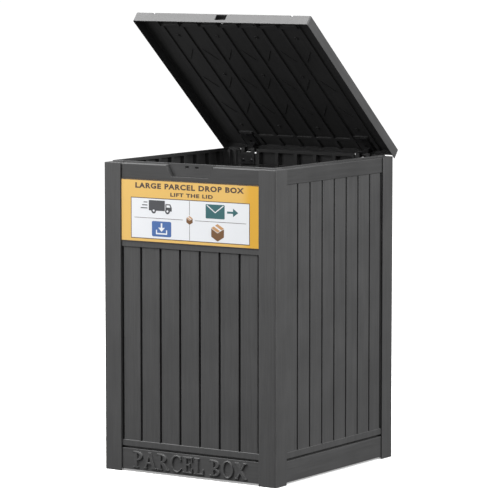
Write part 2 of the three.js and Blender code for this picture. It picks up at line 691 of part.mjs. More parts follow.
place(piece('base_tray', baseTray(), resin), 0, 0, 0);
place(postGroup('front_left'), -X, -Y, 0);
place(postGroup('front_right'), X, -Y, Math.PI / 2);
place(postGroup('rear_right'), X, Y, Math.PI);
place(postGroup('rear_left'), -X, Y, -Math.PI / 2);
place(frontGroup(), 0, -Y + WALL_SETBACK, 0);
place(piece('wall_rear', plainHeadPanel(), resin), 0, Y - WALL_SETBACK, Math.PI);
place(piece('rail_rear', rearRail(), resin), 0, Y - WALL_SETBACK, Math.PI);
[['left', -1], ['right', 1]].forEach(([side, sign]) => {
  const panel = wallPanel(BOX_DEPTH, SIDE_PLANKS, PANEL_TOP + OVERCUT);
  const x = sign * (X - WALL_SETBACK);
  place(piece(`wall_${side}`, panel, resin), x, 0, (sign * Math.PI) / 2);
  place(piece(`rail_${side}`, topRail(BOX_DEPTH, SIDE_PLANKS), resin), x, 0, (sign * Math.PI) / 2);
});

const hingeLine = new THREE.Group();
hingeLine.position.set(0, HINGE_Y, HINGE_Z);
const lid = new THREE.Group();
lid.rotation.x = -THREE.MathUtils.degToRad(LID_OPEN_ANGLE);
lid.add(piece('lid_shell', lidShell(), lidResin), piece('lid_catch', lidCatch(), lidResin));
[['left', -HINGE_X], ['right', HINGE_X]].forEach(([side, x]) => {
  const fixed = boxHalf(side);
  const moving = lidHalf(side);
  fixed.position.x = x;
  moving.position.x = x;
  hingeLine.add(fixed);
  lid.add(moving);
});
hingeLine.add(lid);
group.add(hingeLine);

// Bring the middle of the whole footprint to the origin.
group.updateMatrixWorld(true);
const reach = new THREE.Box3().setFromObject(group, true);
group.position.y = -(reach.min.y + reach.max.y) / 2;

export default group;
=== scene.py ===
import json
import math

import bmesh
import bpy
import numpy as np
from bpy.props import FloatProperty, FloatVectorProperty, IntProperty, PointerProperty, StringProperty
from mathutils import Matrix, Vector

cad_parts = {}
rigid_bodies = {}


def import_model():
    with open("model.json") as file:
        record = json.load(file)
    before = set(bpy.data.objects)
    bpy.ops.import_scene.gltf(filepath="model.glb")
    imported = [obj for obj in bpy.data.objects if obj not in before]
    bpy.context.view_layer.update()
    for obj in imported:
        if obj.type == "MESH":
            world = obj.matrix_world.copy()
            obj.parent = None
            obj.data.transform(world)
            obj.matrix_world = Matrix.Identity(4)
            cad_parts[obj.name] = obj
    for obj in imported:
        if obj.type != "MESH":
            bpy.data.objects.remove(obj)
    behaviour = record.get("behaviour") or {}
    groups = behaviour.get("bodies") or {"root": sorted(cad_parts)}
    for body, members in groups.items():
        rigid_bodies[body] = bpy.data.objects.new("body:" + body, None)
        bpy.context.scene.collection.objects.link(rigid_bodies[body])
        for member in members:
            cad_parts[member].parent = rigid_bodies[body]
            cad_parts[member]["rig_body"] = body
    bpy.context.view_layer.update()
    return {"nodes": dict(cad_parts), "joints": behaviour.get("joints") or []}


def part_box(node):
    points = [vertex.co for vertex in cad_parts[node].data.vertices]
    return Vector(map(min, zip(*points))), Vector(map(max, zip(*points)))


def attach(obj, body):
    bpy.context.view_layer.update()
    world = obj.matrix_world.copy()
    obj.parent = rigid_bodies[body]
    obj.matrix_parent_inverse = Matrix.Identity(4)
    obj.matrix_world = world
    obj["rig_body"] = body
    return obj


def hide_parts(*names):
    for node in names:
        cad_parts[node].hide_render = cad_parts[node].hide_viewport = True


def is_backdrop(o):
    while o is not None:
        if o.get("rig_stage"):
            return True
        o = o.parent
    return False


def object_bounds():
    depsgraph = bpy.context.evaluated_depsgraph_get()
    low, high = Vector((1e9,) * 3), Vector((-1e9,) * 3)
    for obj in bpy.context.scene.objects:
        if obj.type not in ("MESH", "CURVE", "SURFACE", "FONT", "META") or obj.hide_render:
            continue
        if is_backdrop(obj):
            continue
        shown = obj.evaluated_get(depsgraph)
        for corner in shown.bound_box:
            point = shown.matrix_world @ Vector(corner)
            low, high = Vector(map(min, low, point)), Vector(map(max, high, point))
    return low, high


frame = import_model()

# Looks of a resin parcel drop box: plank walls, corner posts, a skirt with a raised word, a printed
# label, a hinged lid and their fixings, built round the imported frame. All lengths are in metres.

bl_info = {
    "name": "Parcel Drop Box",
    "version": (1, 0, 0),
    "blender": (4, 5, 0),
    "location": "3D View > Sidebar > Parcel Box",
    "description": "Builds the looks of a resin parcel drop box around its packed frame",
    "category": "Object",
}

MM = 0.001
BOX, LID = "box", "lid"
SIDES = ("front", "rear", "left", "right")
ALONG_X = ("front", "rear")  # the sides that run along X
HINGE = frame["joints"][0]
AXIS = np.array(HINGE["pos_m"])
LID_ANGLE = math.radians(-HINGE["range_deg"][0])  # how far the lid stands open at rest


def mm(value):
    """A length given in millimetres, in metres."""
    return value * MM


# ---- Sizes and colours that a user would change --------------------------------------------------


def length(name, description, millimetres):
    """A length property whose default is given in millimetres."""
    return FloatProperty(name=name, description=description, default=mm(millimetres),
                         subtype="DISTANCE", unit="LENGTH")


def colour(name, description, value):
    """A colour property, in linear light."""
    return FloatVectorProperty(name=name, description=description, default=value,
                               subtype="COLOR", size=3, min=0.0, max=1.0)


class ParcelBoxSizes(bpy.types.PropertyGroup):
    """Lengths of the details that the frame leaves to the looks."""

    rounding: length("Edge rounding", "Radius on the corners of the mouldings", 1.1)
    steel_rounding: length("Steel rounding", "Radius on the corners of the steel parts", 0.5)
    groove_width: length("Groove width", "Width of the grooves between planks", 6.5)
    groove_depth: length("Groove depth", "Depth of the grooves below the planks", 8.0)
    plank_recess: length("Plank recess", "How far the planks lie behind the rails", 1.8)
    plank_rounding: length("Plank rounding", "Radius on the long edges of the planks", 1.2)
    skin: length("Skin", "Thickness of the moulded skins", 2.8)
    rib: length("Rib", "Thickness of the moulded ribs", 2.6)
    lower_rail_foot: length("Lower rail foot", "Height of the lower rail's foot", 71.5)
    lower_rail_top: length("Lower rail top", "Height of the lower rail's top", 89.0)
    shadow_depth: length("Shadow groove", "Depth of the groove under the lower rail", 10.5)
    label_margin: length("Label margin", "From the planks' top to the label's foot", 17.5)
    pocket_pitch: length("Pocket height", "Target height of the pockets behind the planks", 185.0)
    letter_height: length("Letter height", "Height of the raised capitals", 46.5)
    letter_relief: length("Letter relief", "How far the capitals stand out", 4.0)
    letter_spacing: length("Letter spacing", "Space between the capitals", 5.5)
    board_cover: length("Board cover", "How far the skirt boards cover the tray's skirt", 0.4)
    film: length("Print film", "Thickness of each printed layer", 0.06)
    front_planks: IntProperty(name="Front planks", description="Planks on the front", default=7)
    side_planks: IntProperty(name="Side planks", description="Planks on each side", default=8)


class ParcelBoxColours(bpy.types.PropertyGroup):
    """Colours of the resin, the print and the steel, and the words."""

    resin: colour("Resin", "Charcoal resin of the box", (0.047, 0.047, 0.0475))
    lid_resin: colour("Lid resin", "Resin of the lid", (0.048, 0.048, 0.0485))
    amber: colour("Amber", "Label's border", (0.66, 0.355, 0.022))
    amber_pale: colour("Pale amber", "Label's border where it is faded", (0.69, 0.43, 0.108))
    paper: colour("Paper", "Label's white panel", (0.72, 0.735, 0.76))
    ink: colour("Ink", "Dark print", (0.055, 0.030, 0.022))
    slate: colour("Slate", "Van", (0.045, 0.048, 0.055))
    blue: colour("Blue", "Tray sign", (0.045, 0.12, 0.33))
    teal: colour("Teal", "Envelope and its arrow", (0.018, 0.105, 0.115))
    tan: colour("Tan", "Parcel's lit faces", (0.50, 0.27, 0.11))
    brown: colour("Brown", "Parcel's shaded faces", (0.15, 0.065, 0.018))
    steel: colour("Steel", "Bare steel where the coat is rubbed through", (0.36, 0.365, 0.37))
    dark_steel: colour("Dark steel", "Blackened steel of pins and screws", (0.10, 0.10, 0.105))
    steel_coat: colour("Steel coat", "Coat of the hinges", (0.022, 0.022, 0.023))
    floor: colour("Floor", "Studio floor", (0.86, 0.86, 0.86))
    skirt_word: StringProperty(name="Skirt word", description="Raised word", default="PARCEL BOX")
    header: StringProperty(name="Header", description="First line of print",
                           default="LARGE PARCEL DROP BOX")
    second_line: StringProperty(name="Second line", description="Second line of print",
                                default="LIFT THE LID")


def sizes():
    return bpy.context.scene.parcel_box_sizes


def colours():
    return bpy.context.scene.parcel_box_colours


# ---- Shader maths --------------------------------------------------------------------------------


class Wire:
    """An output socket of a material. Arithmetic on it adds the Math nodes that do the sum."""

    def __init__(self, tree, socket=None):
        self.tree = tree
        self.socket = socket

    def node(self, kind, settings=(), inputs=(), output=0):
        """Adds any node: its settings first, then the value or the link of each named input."""
        node = self.tree.nodes.new(kind)
        for name, value in dict(settings).items():
            setattr(node, name, value)
        for name, value in dict(inputs).items():
            if isinstance(value, Wire):
                self.tree.links.new(value.socket, node.inputs[name])
            else:
                node.inputs[name].default_value = value
        return Wire(self.tree, node.outputs[output])

    def maths(self, operation, *values):
        return self.node("ShaderNodeMath", {"operation": operation}, enumerate(values))

    def __add__(self, other):
        return self.maths("ADD", self, other)

    def __sub__(self, other):
        return self.maths("SUBTRACT", self, other)

    def __mul__(self, other):
        return self.maths("MULTIPLY", self, other)

    def __radd__(self, other):
        return self.maths("ADD", other, self)

    def __rsub__(self, other):
        return self.maths("SUBTRACT", other, self)

    def __rmul__(self, other):
        return self.maths("MULTIPLY", other, self)

    def clamped(self):
        return self.node("ShaderNodeClamp", (), {"Value": self, "Min": 0.0, "Max": 1.0})

    def step(self, start, end):
        """0 before start and 1 after end, with a smooth rise between them."""
        return self.node("ShaderNodeMapRange", {"interpolation_type": "SMOOTHSTEP"},
                         {"Value": self, "From Min": start, "From Max": end})


def rgba(value):
    return (*value, 1.0)


def toned(value, factor):
    """A colour made lighter or darker by a factor."""
    return tuple(min(channel * factor, 1.0) for channel in value)


def mix(wire, factor, first, second, blend="MIX"):
    """Mixes two colours. Each may be a colour or a wire."""
    factor_socket, first_socket, second_socket, colour_output = 0, 6, 7, 2
    return wire.node("ShaderNodeMix", {"data_type": "RGBA", "blend_type": blend},
                     {factor_socket: factor, first_socket: first, second_socket: second},
                     colour_output)


def object_point(wire, turn=(0.0, 0.0, 0.0), stretch=(1.0, 1.0, 1.0)):
    """The point on the object, turned about the X, Y and Z axes and then stretched."""
    point = wire.node("ShaderNodeTexCoord", output="Object")
    turned = wire.node("ShaderNodeMapping", (), {"Vector": point, "Rotation": turn})
    return wire.node("ShaderNodeMapping", (), {"Vector": turned, "Scale": stretch})


def noise(point, scale, detail=2.0, roughness=0.5):
    """Smooth noise between 0 and 1, with that many features to the metre."""
    return point.node("ShaderNodeTexNoise", (),
                      {"Vector": point, "Scale": scale, "Detail": detail, "Roughness": roughness})


def finish(name, build):
    """A material whose Principled shader gets the sockets that build returns for a first wire."""
    material = bpy.data.materials.new(name)
    material.use_nodes = True
    tree = material.node_tree
    shader = tree.nodes["Principled BSDF"]
    for socket, value in build(Wire(tree)).items():
        if isinstance(value, Wire):
            tree.links.new(value.socket, shader.inputs[socket])
        else:
            shader.inputs[socket].default_value = value
    return material


def bumped(wire, height, distance, strength=1.0):
    """A normal tilted by a height between 0 and 1 over that distance."""
    return wire.node("ShaderNodeBump", (),
                     {"Height": height, "Distance": distance, "Strength": strength})


# ---- Finishes ------------------------------------------------------------------------------------


def moulded_resin(name, tone, grain_along, turn=(0.0, 0.0, 0.0)):
    """Charcoal resin with an embossed wood grain that runs along one axis.

    The grain is noise stretched along that axis: broad streaks, fine pores and a spark-eroded
    speckle. Corners are painted paler, a painted highlight that stands in part for a little wear;
    creases get painted shade, and broad clouds change the tone and the gloss.
    """
    across, along = 1.0, 0.022
    stretch = tuple(along if axis in grain_along else across for axis in "xyz")

    def build(wire):
        point = object_point(wire, turn)
        drawn = object_point(wire, turn, stretch)
        streaks = noise(drawn, 210.0, 3.0, 0.6)
        pores = noise(drawn, 900.0, 2.0).step(0.52, 0.72)
        speckle = noise(point, 1500.0, 1.0)
        clouds = noise(point, 7.0, 3.0, 0.55)
        pointiness = wire.node("ShaderNodeNewGeometry", output="Pointiness")
        # painted highlight: edges with high pointiness are painted paler, which also stands for a little
        # wear
        wear_and_sheen = pointiness.step(0.515, 0.60) * (0.55 + 0.9 * noise(point, 90.0, 2.0))
        # painted shade: creases, where pointiness is low, are painted darker
        crease_shade_mask = 1 - pointiness.step(0.40, 0.49)
        tones = (0.45 * streaks + 0.35 * clouds + 0.20 * speckle - 0.14 * pores).step(0.30, 0.68)
        body = mix(wire, tones, rgba(toned(tone, 0.80)), rgba(toned(tone, 1.22)))
        edged = mix(wire, (wear_and_sheen * 0.45).clamped(), body, rgba(toned(tone, 2.1)))
        crease_shaded = mix(wire, (crease_shade_mask * 0.35).clamped(), edged, rgba(toned(tone, 0.62)))
        height = 0.50 * streaks + 0.22 * speckle - 0.28 * pores
        return {
            "Base Color": crease_shaded,
            "Roughness": (0.47 + 0.12 * streaks + 0.10 * clouds - 0.10 * wear_and_sheen).clamped(),
            "Normal": bumped(wire, height, mm(0.30), 0.75),
            "IOR": 1.49,
            "Specular IOR Level": 0.5,
        }

    return finish(name, build)


def smooth_resin(name, tone):
    """Plain resin of the hidden side of a moulding: flow clouds, fine swirls and a faint speckle."""

    def build(wire):
        point = object_point(wire)
        clouds = noise(point, 9.0, 4.0, 0.6)
        swirls = noise(point, 60.0, 2.0)
        speckle = noise(point, 1100.0, 1.0)
        tones = (0.6 * clouds + 0.4 * swirls).step(0.30, 0.70)
        return {
            "Base Color": mix(wire, tones, rgba(toned(tone, 0.82)), rgba(toned(tone, 1.18))),
            "Roughness": (0.40 + 0.22 * clouds).clamped(),
            "Normal": bumped(wire, 0.6 * swirls + 0.4 * speckle, mm(0.2), 0.5),
            "IOR": 1.49,
        }

    return finish(name, build)


def printed_paper(name, tone, fade=None, fade_span=(0.0, 1.0)):
    """Laminated print: a fine halftone speckle, a faint cloud and slight ripples of the laminate.

    With a second tone, the print changes to it along X over a span.
    """

    def build(wire):
        point = object_point(wire)
        speckle = noise(point, 2600.0, 1.0)
        clouds = noise(point, 22.0, 3.0)
        ripples = noise(point, 60.0, 1.0)
        base = rgba(tone)
        if fade:
            x = wire.node("ShaderNodeSeparateXYZ", (), {"Vector": point}, "X")
            wander = x + 0.02 * (clouds - 0.5)
            base = mix(wire, wander.step(*fade_span), rgba(tone), rgba(fade))
        shade = (0.93 + 0.05 * clouds + 0.04 * speckle).clamped()
        return {
            "Base Color": mix(wire, 1.0, base, wire.node("ShaderNodeCombineColor", (), {
                "Red": shade, "Green": shade, "Blue": shade}), "MULTIPLY"),
            "Roughness": (0.34 + 0.16 * clouds + 0.06 * speckle).clamped(),
            "Normal": bumped(wire, 0.8 * ripples + 0.2 * speckle, mm(0.12), 0.5),
            "Coat Roughness": 0.25,
        }

    return finish(name, build)


def plated_steel(name, tone, brushed_along):
    """Plated or blackened steel: brushed lines along one axis, spangle patches and dull marks."""
    stretch = tuple(0.03 if axis == brushed_along else 1.0 for axis in "xyz")

    def build(wire):
        point = object_point(wire)
        lines = noise(object_point(wire, stretch=stretch), 2400.0, 2.0, 0.6)
        spangle = wire.node("ShaderNodeTexVoronoi", {"feature": "F1"},
                            {"Vector": point, "Scale": 260.0}, "Color")
        grey = wire.node("ShaderNodeSeparateColor", (), {"Color": spangle}, "Red")
        marks = noise(point, 130.0, 3.0).step(0.45, 0.70)
        tones = (0.5 * lines + 0.5 * grey).clamped()
        return {
            "Base Color": mix(wire, tones, rgba(toned(tone, 0.72)), rgba(toned(tone, 1.25))),
            "Metallic": (1.0 - 0.12 * marks).clamped(),
            "Roughness": (0.26 + 0.18 * lines + 0.16 * marks).clamped(),
            "Normal": bumped(wire, lines, mm(0.05), 0.6),
        }

    return finish(name, build)


def coated_steel(name, coat, bare):
    """Black-coated steel: orange-peel coat with cloudy gloss, rubbed through in scattered spots."""

    def build(wire):
        point = object_point(wire)
        peel = noise(point, 900.0, 1.0)
        clouds = noise(point, 60.0, 3.0)
        wear_and_sheen = (noise(point, 240.0, 4.0, 0.65) * 0.7 + clouds * 0.3).step(0.66, 0.72)
        body = mix(wire, clouds, rgba(toned(coat, 0.75)), rgba(toned(coat, 1.3)))
        return {
            "Base Color": mix(wire, wear_and_sheen, body, rgba(bare)),
            "Metallic": (0.9 * wear_and_sheen).clamped(),
            "Roughness": (0.34 + 0.16 * clouds - 0.06 * wear_and_sheen).clamped(),
            "Normal": bumped(wire, peel, mm(0.06), 0.6),
        }

    return finish(name, build)


def studio_floor(name, tone):
    """Pale matt floor with a trace of cloudiness."""

    def build(wire):
        point = object_point(wire)
        clouds = noise(point, 1.3, 3.0)
        grit = noise(point, 400.0, 1.0)
        shade = 0.7 * clouds + 0.3 * grit
        return {
            "Base Color": mix(wire, shade, rgba(toned(tone, 0.97)), rgba(toned(tone, 1.02))),
            "Roughness": (0.80 + 0.1 * clouds).clamped(),
            "Normal": bumped(wire, grit, mm(0.2), 0.3),
            "Specular IOR Level": 0.2,
            "Emission Color": rgba(tone),
            "Emission Strength": 0.42,
        }

    return finish(name, build)


FINISHES = {}


def shared(name, build, *values):
    """Makes a finish the first time it is asked for, and gives the same one after that."""
    if name not in FINISHES:
        FINISHES[name] = build(name, *values)
    return FINISHES[name]


def upright_grain():
    return shared("resin_upright_grain", moulded_resin, colours().resin, "z")


def level_grain():
    return shared("resin_level_grain", moulded_resin, colours().resin, "xy")


# painted shade: the box's resin at 0.70 of its tone, darker to tone down the overhead light that the rails'
# level grain catches
def shaded_rail_grain():
    return shared("resin_rail_grain", moulded_resin, toned(colours().resin, 0.70), "xy")


def lid_grain():
    turn = (LID_ANGLE, 0.0, 0.0)
    return shared("resin_lid_grain", moulded_resin, colours().lid_resin, "y", turn)


def lid_boss_resin():
    return shared("resin_lid_inside", smooth_resin, colours().lid_resin)


# ---- Mesh making ---------------------------------------------------------------------------------


def place_piece(name, mesh, material, body, replaces=(), smooth_angle=32.0):
    mesh.name = name
    mesh.materials.clear()
    mesh.materials.append(material)
    mesh.polygons.foreach_set("use_smooth", np.ones(len(mesh.polygons), bool))
    if smooth_angle:
        mesh.set_sharp_from_angle(angle=math.radians(smooth_angle))
    piece = bpy.data.objects.new(name, mesh)
    bpy.context.scene.collection.objects.link(piece)
    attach(piece, body)
    if replaces:
        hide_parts(*replaces)
    return piece


def mesh_from(points, faces):
    """A mesh from an array of points and a list of arrays of faces, each with its own corner count."""
    mesh = bpy.data.meshes.new("shape")
    polygons = [face for block in faces for face in np.asarray(block).tolist()]
    mesh.from_pydata(np.asarray(points, float).reshape(-1, 3).tolist(), [], polygons)
    mesh.update()
    return mesh


def outward(mesh):
    """Merges a mesh's doubled points and turns its faces outwards."""
    shape = bmesh.new()
    shape.from_mesh(mesh)
    bmesh.ops.remove_doubles(shape, verts=shape.verts, dist=mm(0.001))
    bmesh.ops.recalc_face_normals(shape, faces=shape.faces)
    shape.to_mesh(mesh)
    shape.free()
    return mesh


def grid_faces(rows, columns, wrap_columns=False, start=0):
    """Quads of a grid of points numbered row by row, whose rows may close on themselves."""
    r = np.arange(rows - 1)[:, None]
    c = np.arange(columns if wrap_columns else columns - 1)[None, :]
    below, right = r + 1, (c + 1) % columns
    corners = (r * columns + c, r * columns + right, below * columns + right, below * columns + c)
    return start + np.stack([corner.reshape(-1) for corner in np.broadcast_arrays(*corners)], 1)


def slab_mesh(front, back):
    """Closed solid between two grids of points of the same shape, with strips round the border."""
    rows, columns = front.shape[:2]
    count = rows * columns
    index = np.arange(count).reshape(rows, columns)
    border = np.concatenate([index[0, :-1], index[:-1, -1], index[-1, :0:-1], index[:0:-1, 0]])
    after = np.roll(border, -1)
    strips = np.stack([border, border + count, after + count, after], 1)
    faces = [grid_faces(rows, columns), grid_faces(rows, columns, start=count)[:, ::-1], strips]
    return outward(mesh_from(np.concatenate([front.reshape(-1, 3), back.reshape(-1, 3)]), faces))


def smoothstep(value, start, end):
    """0 before start and 1 after end, on the cubic 3t^2 - 2t^3 between them."""
    t = np.clip((value - start) / (end - start), 0.0, 1.0)
    return t * t * (3.0 - 2.0 * t)


def soft_corner(value, start, end):
    """0 before start and 1 after end, on a quarter circle that leaves start level."""
    t = np.clip((value - start) / (end - start), 0.0, 1.0)
    return 1.0 - np.sqrt(np.clip(1.0 - t * t, 0.0, 1.0))


def turned_mesh(radii, heights, sides, place):
    """Closed turned solid: a profile of radii and heights carried round an axis, its ends on it."""
    angle = np.arange(sides) * (2.0 * math.pi / sides)
    ring = np.stack([np.cos(angle), np.sin(angle)], 1)
    radii, heights = np.asarray(radii, float), np.asarray(heights, float)
    points = np.concatenate([
        ring[None, :, :] * radii[:, None, None],
        np.broadcast_to(heights[:, None, None], (len(radii), sides, 1)),
    ], 2)
    return outward(mesh_from(place(points), [grid_faces(len(radii), sides, wrap_columns=True)]))


def joined_mesh(meshes):
    """One mesh from several."""
    shape = bmesh.new()
    for mesh in meshes:
        shape.from_mesh(mesh)
        bpy.data.meshes.remove(mesh)
    result = bpy.data.meshes.new("joined")
    shape.to_mesh(result)
    shape.free()
    return result


BROAD = 2.4  # a broad edge's radius, as a multiple of the others
TURN_LIMIT = math.radians(36.0)  # edges that turn less than this stay as they are


def moulding(node, material, body, rounding, segments=3, broad=None):
    """Rounded copy of a frame solid: its doubled points are merged, and a bevel rounds its corners.

    Edges that turn less than the limit stay as they are. The others get the rounding as their
    radius, or BROAD times it where both their ends pass the broad test.
    """
    mesh = frame["nodes"][node].data.copy()
    shape = bmesh.new()
    shape.from_mesh(mesh)
    bmesh.ops.remove_doubles(shape, verts=shape.verts, dist=mm(0.005))
    weight = shape.edges.layers.float.new("bevel_weight_edge")
    for edge in shape.edges:
        if edge.calc_face_angle(0.0) > TURN_LIMIT:
            wide = broad and all(broad(vert.co) for vert in edge.verts)
            edge[weight] = 1.0 if wide else 1.0 / BROAD
    shape.to_mesh(mesh)
    shape.free()
    piece = place_piece(f"{node}_moulding", mesh, material, body, [node], smooth_angle=None)
    bevel = piece.modifiers.new("rounded_edges", "BEVEL")
    bevel.width = rounding * BROAD
    bevel.segments = segments
    bevel.limit_method = "WEIGHT"
    bevel.use_clamp_overlap = False
    bevel.miter_outer = "MITER_ARC"
    flat = piece.modifiers.new("flat_faces", "WEIGHTED_NORMAL")
    flat.mode = "FACE_AREA"
    flat.weight = 100
    flat.thresh = 0.01
    return piece


# ---- Plank walls ---------------------------------------------------------------------------------


def wall_frames():
    """For each wall: its middle line, its rail face, the way along it and the way into it."""
    front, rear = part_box("wall_front"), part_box("wall_rear")
    left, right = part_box("wall_left"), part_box("wall_right")
    depth = (front[0].y + rear[1].y) / 2
    return {
        "front": ((0.0, front[0].y), (1, 0), (0, 1)),
        "rear": ((0.0, rear[1].y), (-1, 0), (0, -1)),
        "left": ((left[0].x, depth), (0, -1), (1, 0)),
        "right": ((right[1].x, depth), (0, 1), (-1, 0)),
    }


def wall_point(side, along, depth, height):
    """Points of a wall from how far along, how deep and how high they are, as arrays."""
    origin, way, inward = (np.array(value, float) for value in wall_frames()[side])
    flat = origin + along[..., None] * way + depth[..., None] * inward
    return np.concatenate([flat, np.broadcast_to(height, along.shape)[..., None]], -1)


def half_field(side):
    """Half the width between the two posts of a wall."""
    if side in ALONG_X:
        return (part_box("post_front_right")[0].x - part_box("post_front_left")[1].x) / 2
    return (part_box("post_rear_left")[0].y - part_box("post_front_left")[1].y) / 2


def plank_lines(side):
    """Lines that part the planks of a wall, with its two ends."""
    count = sizes().front_planks if side in ALONG_X else sizes().side_planks
    field = half_field(side)
    return np.linspace(-field, field, count + 1)


def clustered(centres, offsets, ends):
    """Sorted grid lines: a set of offsets repeated round each centre, with the two ends."""
    lines = (np.asarray(centres)[:, None] + np.asarray(offsets)[None, :]).reshape(-1)
    lines = np.concatenate([lines, ends])
    return np.unique(np.round(lines[(lines >= min(ends)) & (lines <= max(ends))], 7))


LIP_SHARE = 0.25  # share of a lip's radius that reaches into the groove
LIP_DROP = 0.8  # drop of a lip to its groove, as a share of its radius
BEFORE, AFTER = mm(0.4), mm(1.4)  # where a moulded slope starts and ends beside its line
POCKET_SLOPE = mm(0.9)


def wall_panel(side):
    """One wall as a slab between two reliefs.

    Outside, the depth is the plank profile along the wall times a rise from the rails to the
    planks. The profile is the recess, plus a groove with quarter-round lips at every line. The
    shadow groove under the lower rail is added to it. Inside, the depth drops by pockets: a
    product of a window along the wall and one up it.
    """
    s = sizes()
    node = f"wall_{side}"
    low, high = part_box(node)
    across = (high.x - low.x) if side in ALONG_X else (high.y - low.y)
    thick = (high.y - low.y) if side in ALONG_X else (high.x - low.x)
    field = half_field(side)
    plain_head = side in ALONG_X
    planks_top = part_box("label_plate")[0].z - s.label_margin if plain_head else high.z + s.rib
    half_groove, lip, ridge = s.groove_width / 2, s.plank_rounding, s.groove_width / 2 + s.rib
    grooves = plank_lines(side)  # the first and the last groove lie against the posts
    grooves[0] += half_groove
    grooves[-1] -= half_groove

    # the grid's lines lie close together where the relief is steep
    arc = np.linspace(0.0, 1.0, 6)
    lips = np.concatenate([half_groove + lip * (1 - arc), half_groove - lip * LIP_SHARE * arc ** 2,
                           [half_groove * 0.55, 0.0]])
    walls = ridge + mm(1.0) * np.linspace(-0.6, 1.6, 6)
    offsets = np.concatenate([lips, -lips])
    x = clustered(grooves, offsets, (-across / 2, across / 2))
    x = np.union1d(x, clustered(grooves, np.concatenate([walls, -walls]), (-across / 2, across / 2)))
    x = np.union1d(x, np.linspace(-across / 2, across / 2, 41))

    rows = max(round((planks_top - s.lower_rail_top) / s.pocket_pitch), 1)
    shelves = np.linspace(s.lower_rail_top, planks_top, rows + 1)
    near = np.concatenate([walls - ridge + s.rib, -(walls - ridge + s.rib)])
    edge = mm(1.6) * np.linspace(-1.0, 1.0, 9)
    z = clustered([s.lower_rail_foot, s.lower_rail_top, planks_top], edge, (low.z, high.z))
    z = np.union1d(z, clustered(shelves, near, (low.z, high.z)))
    z = np.union1d(z, np.linspace(low.z, high.z, 25))
    z = z[(z >= low.z) & (z <= high.z)]
    X, Z = np.meshgrid(x, z)

    nearest = np.abs(X[..., None] - grooves).min(-1)
    groove = s.groove_depth * (1.0 - smoothstep(nearest, half_groove - lip * LIP_SHARE, half_groove))
    drop = lip * LIP_DROP
    lipped = drop * (1.0 - np.sqrt(np.clip(1 - (1 - (nearest - half_groove) / lip) ** 2, 0, 1)))
    profile = s.plank_recess + np.where(nearest < half_groove, np.maximum(groove, drop),
                                        np.where(nearest < half_groove + lip, lipped, 0.0))
    rise = soft_corner(Z, s.lower_rail_top - AFTER, s.lower_rail_top + BEFORE)
    if plain_head:
        rise = rise * (1.0 - soft_corner(Z, planks_top - BEFORE, planks_top + AFTER))
    foot = s.lower_rail_foot
    shadow = s.shadow_depth * (1.0 - smoothstep(Z, foot - mm(0.2), foot + mm(0.6)))
    outside = profile * rise + shadow

    to_shelf = np.abs(Z[..., None] - shelves).min(-1)
    window = smoothstep(nearest, ridge - BEFORE, ridge + POCKET_SLOPE) * (np.abs(X) < field)
    pane = smoothstep(to_shelf, s.rib - BEFORE, s.rib + POCKET_SLOPE) * (Z > s.lower_rail_top)
    top_frame = 1.0 - smoothstep(Z, high.z - s.rib - mm(0.5), high.z - s.rib + mm(0.5))
    floor_depth = np.where(Z < planks_top, s.plank_recess, 0.0) + s.skin
    inside = thick - (thick - floor_depth) * window * pane * top_frame

    mesh = slab_mesh(wall_point(side, X, outside, Z), wall_point(side, X, inside, Z))
    return place_piece(f"{side}_plank_wall", mesh, upright_grain(), BOX, [node])


# ---- Skirt boards and the raised word ------------------------------------------------------------


def band(value, low, high):
    """Distance outside a band of values, negative inside it."""
    return np.abs(value - (low + high) / 2) - (high - low) / 2


def bar(x, z, x0, x1, z0, z1):
    """Distance outside an upright rectangle, negative inside it."""
    return np.maximum(band(x, x0, x1), band(z, z0, z1))


def ellipse(x, z, cx, cz, rx, rz):
    """Distance outside an ellipse, near enough beside its edge: its level times its least radius."""
    return (np.hypot((x - cx) / rx, (z - cz) / rz) - 1.0) * min(rx, rz)


def slant(x, z, foot, top, half, z0=0.0, z1=1.0):
    """Distance outside a slanted stroke between two heights, half as wide each side of its line."""
    run = (top - foot) / (z1 - z0)
    line = foot + run * (z - z0)
    return np.maximum(np.abs(x - line) / math.hypot(1.0, run) - half, band(z, z0, z1))


STEM, HAIR, SERIF = 0.112, 0.058, 0.044  # half widths of strokes, as shares of the letters' height


def union(*shapes):
    return np.minimum.reduce(shapes)


def stem(x, z, at):
    """Upright stroke with a flat serif at its head and its foot."""
    wide = STEM + 0.075
    return union(bar(x, z, at - STEM, at + STEM, 0, 1), bar(x, z, at - wide, at + wide, 0, 2 * SERIF),
                 bar(x, z, at - wide, at + wide, 1 - 2 * SERIF, 1))


def bowl(x, z, at, reach, z0, z1):
    """Round stroke that leaves a stem and comes back to it: an ellipse less a narrower one."""
    middle, tall = (z0 + z1) / 2, (z1 - z0) / 2
    outer = ellipse(x, z, at, middle, reach, tall)
    inner = ellipse(x, z, at, middle, reach - 2 * STEM, tall - 2 * HAIR)
    return np.maximum(np.maximum(outer, -inner), at - x)


def arm(x, z, x0, x1, at, rise):
    """Level stroke from a stem, with a serif at its end that rises or hangs by that much."""
    tip = bar(x, z, x1 - 2 * SERIF, x1, min(at, at + rise), max(at, at + rise))
    return union(bar(x, z, x0, x1, at - HAIR, at + HAIR), tip)


def letter_p(x, z):
    return union(stem(x, z, 0.17), bowl(x, z, 0.22, 0.44, 0.44, 1.0))


def letter_a(x, z):
    feet = union(bar(x, z, -0.02, 0.22, 0, 2 * SERIF), bar(x, z, 0.55, 0.86, 0, 2 * SERIF))
    return union(slant(x, z, 0.09, 0.41, HAIR), slant(x, z, 0.72, 0.39, STEM),
                 bar(x, z, 0.20, 0.60, 0.30, 0.30 + 2 * HAIR), feet)


def letter_r(x, z):
    leg = slant(x, z, 0.70, 0.34, STEM, 0.0, 0.50)
    return union(letter_p(x, z), leg, bar(x, z, 0.56, 0.84, 0, 2 * SERIF))


